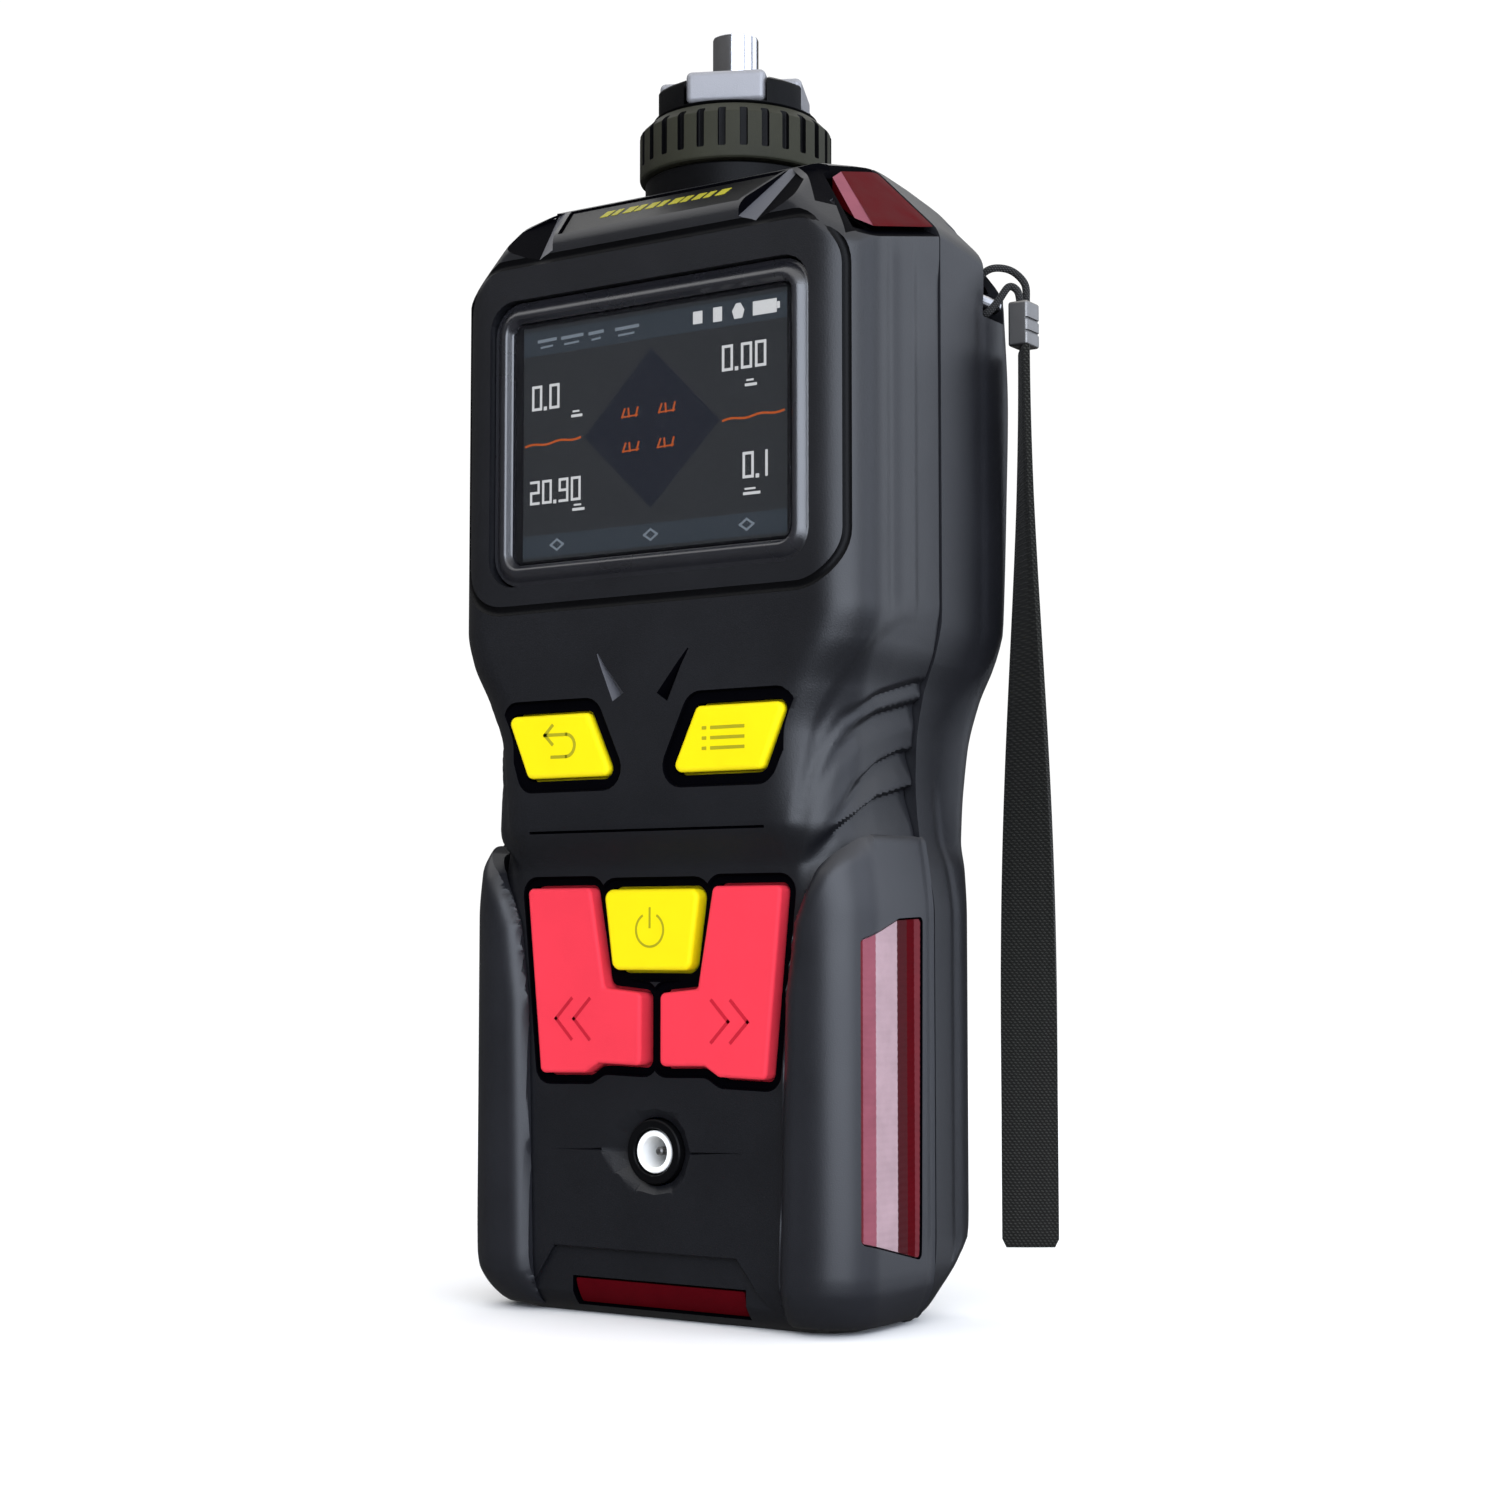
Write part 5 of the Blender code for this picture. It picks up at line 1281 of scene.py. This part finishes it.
def make_inlet():
    centre = (0, INLET_Y, 0)
    neck = [(8.3, 179.6), (11.8, 179.6), (12.0, 179.4), (12.0, 176.4), (14.2, 176.4), (14.4, 176.2), (14.4, 160.4),
            (2.0, 160.4), (2.0, 168.0), (8.3, 168.0)]
    piece(turned("neck", neck, centre, BLACK, 96, "Z", True), "housing", "black_plastic", "inlet_neck")
    profile = [(11.2, 185.9), (13.3, 185.9), (13.6, 185.7), (15.15, 184.2), (15.3, 183.9), (15.3, 177.3),
               (15.2, 177.0), (14.9, 176.8), (12.6, 176.8), (12.6, 183.3), (11.2, 183.3)]
    ring = turned("knurled_ring", profile, centre, RING, 168, "Z", True)
    for number in range(RING_SLOTS):
        # The slots' walls take the black colour, painted shade in the ring's grooves.
        slot = block(f"slot_{number:02d}", (14.45, -0.62, 178.6), (17.0, 0.62, 187.5), BLACK, 0.25, 2)
        turn = Matrix.Rotation(2 * math.pi * number / RING_SLOTS, 4, "Z")
        slot.data.transform(Matrix.Translation((0, INLET_Y * MM, 0)) @ turn)
        cut(ring, slot)
    piece(ring, "inlet_ring", "ring_plastic", "locking_ring", angle=28.0)
    cap_profile = [(0.0, 191.3), (10.5, 191.3), (11.1, 191.2), (12.9, 190.3), (13.1, 189.9), (13.1, 186.4),
                   (12.9, 186.2), (10.8, 186.2), (10.8, 183.0), (12.2, 183.0), (12.2, 181.6), (3.0, 181.6),
                   (3.0, 186.0), (0.0, 186.0)]
    cap = turned("cap", cap_profile, centre, BLACK, 128)
    cut(cap, hub_cross("hub_slots", 6.55, 15.0, 186.5, 200.0, BLACK, 0.0))
    piece(cap, "inlet_cap", "black_plastic", "filter_cap", angle=28.0)
    piece(hub_cross("hub", 6.25, 11.3, 186.8, 191.9, HUB, 0.9), "inlet_cap", "satin_metal", "filter_collar",
          angle=40.0)
    tip = [(0.0, 197.0), (1.45, 197.0), (1.6, 197.15), (1.6, 200.45), (1.75, 200.6), (3.25, 200.6), (3.5, 200.5),
           (3.65, 200.2), (3.65, 192.7), (3.9, 192.4), (3.9, 192.2), (0.0, 192.2)]
    piece(turned("tube_tip", tip, centre, CHROME, 64), "inlet_cap", "chrome", "nozzle", angle=30.0)


def hub_cross(name, half_width, reach, low, high, surface, bevel):
    """Two crossed bars about the inlet's axis."""
    a, b = half_width, reach
    corners = [(b, -a), (b, a), (a, a), (a, b), (-a, b), (-a, a), (-b, a), (-b, -a), (-a, -a), (-a, -b),
               (a, -b), (a, -a)]
    place = Matrix.Rotation(HUB_TURN, 2)
    outline = [place @ Vector(corner) for corner in corners]
    cross = loft(name, [[(p.x, p.y + INLET_Y, z) for p in outline] for z in (low, high)], surface)
    if bevel:
        step = cross.modifiers.new("bevel", "BEVEL")
        step.width = bevel * MM
        step.segments = 4
        step.limit_method = "ANGLE"
        step.angle_limit = math.radians(50)
        baked(cross)
    return cross


# ---------------------------------------------------------------- strap
def smooth_route(points, per_span):
    """Places on a curve that passes through the points."""
    route = [Vector(point) for point in points]
    padded = [2 * route[0] - route[1]] + route + [2 * route[-1] - route[-2]]
    places = []
    for index in range(len(route) - 1):
        before, start, end, after = padded[index:index + 4]
        for step in range(per_span):
            t = step / per_span
            square = (2 * before - 5 * start + 4 * end - after) * t * t
            cube = (3 * start - before - 3 * end + after) * t ** 3
            places.append(0.5 * (2 * start + (end - before) * t + square + cube))
    places.append(route[-1])
    return places


def cord_route():
    """The cord's loop: from the crimp over the pin, under it and back."""
    outer = [(STRAP_X, 0.9, CORD_END_Z), (STRAP_X, 0.9, 156.2), (STRAP_X - 0.2, 0.8, 159.2),
             (39.3, 0.7, 161.4), (36.7, 0.6, 161.6), (34.2, 0.5, 159.8), (33.3, 0.2, PIN_Z)]
    inner = [(34.4, -0.2, PIN_Z - 2.1), (36.5, -0.5, PIN_Z - 2.2), (38.2, -0.7, PIN_Z - 0.4),
             (39.6, -0.8, 158.4), (40.8, -0.9, 157.9), (STRAP_X - 0.2, -0.9, 156.2),
             (STRAP_X, -0.9, CORD_END_Z)]
    route = []
    for x, y, z in outer + inner:
        share = min(max((x - 37.0) / 3.5, 0.0), 1.0)
        route.append((x, PIN_Y + (STRAP_Y - PIN_Y) * share + y, z))
    return route


def strap_frame(share):
    """Height of the strap at a share of its length, and its directions across its width and thickness."""
    height = STRAP_TOP_Z + (STRAP_BOTTOM_Z - STRAP_TOP_Z) * share
    turn = math.radians(STRAP_TURN[0] + (STRAP_TURN[1] - STRAP_TURN[0]) * ease(share, 0.0, 1.0))
    wide = Vector((math.cos(turn), math.sin(turn)))
    return height, wide, Vector((-wide.y, wide.x))


def rounded_end(distance, reach, least):
    """Grows from a least share to 1 over a reach, along a quarter circle."""
    short = max(1 - distance / reach, 0.0)
    return least + (1 - least) * math.sqrt(1 - min(short * short, 1.0))


def make_strap():
    make_cord()
    make_clamp()
    make_webbing()


def make_cord():
    route = [point * MM for point in smooth_route(cord_route(), 8)]
    curve = bpy.data.curves.new("lanyard", "CURVE")
    curve.dimensions = "3D"
    curve.bevel_depth = CORD_WIDTH / 2 * MM
    curve.bevel_resolution = 4
    curve.use_fill_caps = True
    spline = curve.splines.new("POLY")
    spline.points.add(len(route) - 1)
    for point, place in zip(spline.points, route):
        point.co = (*place, 1.0)
    cord = linked(bpy.data.objects.new("lanyard", curve))
    curve.materials.append(BRAID)
    piece(cord, "strap", "strap_webbing", "lanyard_cord")


def make_clamp():
    clamp = block("crimp", (STRAP_X - 1.7, STRAP_Y - 2.2, 148.8), (STRAP_X + 1.7, STRAP_Y + 2.2, 155.9), SATIN,
                  0.45, 4)
    cut(clamp, block("mouth", (STRAP_X - 1.0, STRAP_Y - 1.7, CORD_END_Z - GAP),
                     (STRAP_X + 1.0, STRAP_Y + 1.7, 157.0), SATIN, 0.2))
    for z in (151.0, 153.0):
        cut(clamp, block("dent", (STRAP_X + 1.35, STRAP_Y - 3, z - 0.25), (STRAP_X + 2.5, STRAP_Y + 3, z + 0.25),
                         SATIN))
    piece(clamp, "strap", "satin_metal", "lanyard_clamp", angle=40.0)


def webbing_section():
    """The strap's outline across its width, with a groove beside each edge."""
    half, fold = STRAP_WIDTH / 2, 0.65
    section = []
    for hand in (-1, 1):
        for k in range(17):
            u = hand * (1 - 2 * k / 16)
            thick = fold * (1 - 0.35 * abs(u) ** 6)
            groove = 0.16 if abs(abs(u * half) - half + 0.9) < 0.3 else 0.0
            section.append((u * half, hand * (thick - groove)))
    return section


def make_webbing():
    steps = 110
    section = webbing_section()
    centres, rings = [], []
    for step in range(steps + 1):
        height, wide, thick = strap_frame(step / steps)
        tail = height - STRAP_BOTTOM_Z
        narrow, thin = rounded_end(tail, 0.9, 0.86), rounded_end(tail, 0.6, 0.35)
        places = [wide * u * narrow + thick * v * thin for u, v in section]
        rings.append([(STRAP_X + place.x, STRAP_Y + place.y, height) for place in places])
        centres.append((STRAP_X * MM, STRAP_Y * MM, height * MM))
    strap = loft("webbing", rings, WEBBING)
    piece(strap, "strap", "strap_webbing", "wrist_strap", angle=50.0)


# ---------------------------------------------------------------- carried-over nodes
def paint(node, surface):
    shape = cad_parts[node]
    if not shape.material_slots:
        shape.data.materials.append(surface)
    for slot in shape.material_slots:
        slot.material = surface


PAINTED = {
    BOARD: ("main_board", "keypad_board", "led_board_left", "led_board_right"),
    SEAL: ("upper_keypad_mat", "lower_keypad_mat", "shell_gasket", "inlet_o_ring"),
    BLACK: ("pump_head", "buzzer", "sensor_manifold", "exhaust_port"),
    SATIN: ("gas_sensor_1", "gas_sensor_2", "gas_sensor_3", "gas_sensor_4", "pump_eccentric"),
    STEEL: ("vibration_motor", "vibration_weight", "pump_motor", "lanyard_pin", "case_screw_1", "case_screw_2",
            "case_screw_3", "case_screw_4", "case_screw_5", "case_screw_6"),
    BATTERY: ("battery_pack",), SCREEN_BLACK: ("lcd_module",), FILTER: ("filter_disc",), TUBE: ("inlet_tube",)}


def paint_nodes():
    for surface, nodes in PAINTED.items():
        for node in nodes:
            paint(node, surface)


# ---------------------------------------------------------------- stage
COOL_WHITE = (0.80, 0.87, 1.0)
FLOOR_RADIUS = 6.0


def area_light(name, place, size, power, colour):
    """A soft light that points at the middle of the object."""
    light = bpy.data.lights.new(name, "AREA")
    light.shape = "RECTANGLE"
    light.size, light.size_y = size
    light.energy = power
    light.color = colour
    made = bpy.data.objects.new(name, light)
    made.location = place
    made.rotation_mode = "QUATERNION"
    made.rotation_quaternion = (Vector((0, 0, 0.1)) - Vector(place)).to_track_quat("-Z", "Y")
    made.visible_camera = False
    linked(made)


def make_stage():
    """A pale floor, a wide soft light from above and three soft boxes. The world is brighter to the camera."""
    bm = bmesh.new()
    bmesh.ops.create_circle(bm, cap_ends=True, segments=96, radius=FLOOR_RADIUS,
                            matrix=Matrix.Translation((0, 0, -0.00005)))
    floor = from_bmesh("floor", bm, moulded("floor_paper", (0.9, 0.9, 0.9), 0.9, 0.01))
    if floor.data.polygons[0].normal.z < 0:
        floor.data.flip_normals()
    floor.visible_glossy = False
    world = bpy.data.worlds.new("studio")
    bpy.context.scene.world = world
    world.use_nodes = True
    tree = world.node_tree
    ground = tree.nodes["Background"]
    ground.inputs["Color"].default_value = (1.0, 1.0, 1.0, 1.0)
    ground.inputs["Strength"].default_value = 0.1
    seen = tree.nodes.new("ShaderNodeBackground")
    seen.inputs["Color"].default_value = (1.0, 1.0, 1.0, 1.0)
    seen.inputs["Strength"].default_value = 1.05
    path = tree.nodes.new("ShaderNodeLightPath")
    mix = tree.nodes.new("ShaderNodeMixShader")
    tree.links.new(path.outputs["Is Camera Ray"], mix.inputs["Fac"])
    tree.links.new(ground.outputs[0], mix.inputs[1])
    tree.links.new(seen.outputs[0], mix.inputs[2])
    tree.links.new(mix.outputs[0], tree.nodes["World Output"].inputs["Surface"])
    sun = bpy.data.lights.new("overcast", "SUN")
    sun.energy = 3.4
    sun.angle = math.radians(120)
    above = bpy.data.objects.new("overcast", sun)
    above.location = (0, 0, 2)
    linked(above)
    area_light("side_softbox", (0.66, 1.0, 0.3), (0.75, 1.1), 4.8, COOL_WHITE)
    area_light("right_softbox", (1.33, 0.25, 0.4), (0.9, 1.1), 8.5, (0.76, 0.84, 1.0))
    area_light("corner_softbox", (0.95, -0.96, 0.3), (1.5, 1.1), 31.0, COOL_WHITE)


make_strap()
make_front_case()
make_rear_case()
make_grips()
make_side_lenses()
make_top_lenses()
make_bottom_lens()
make_top_label()
make_rim()
make_screen()
make_keys()
make_socket()
make_inlet()
paint_nodes()
make_stage()

bpy.context.scene.view_settings.view_transform = "Standard"
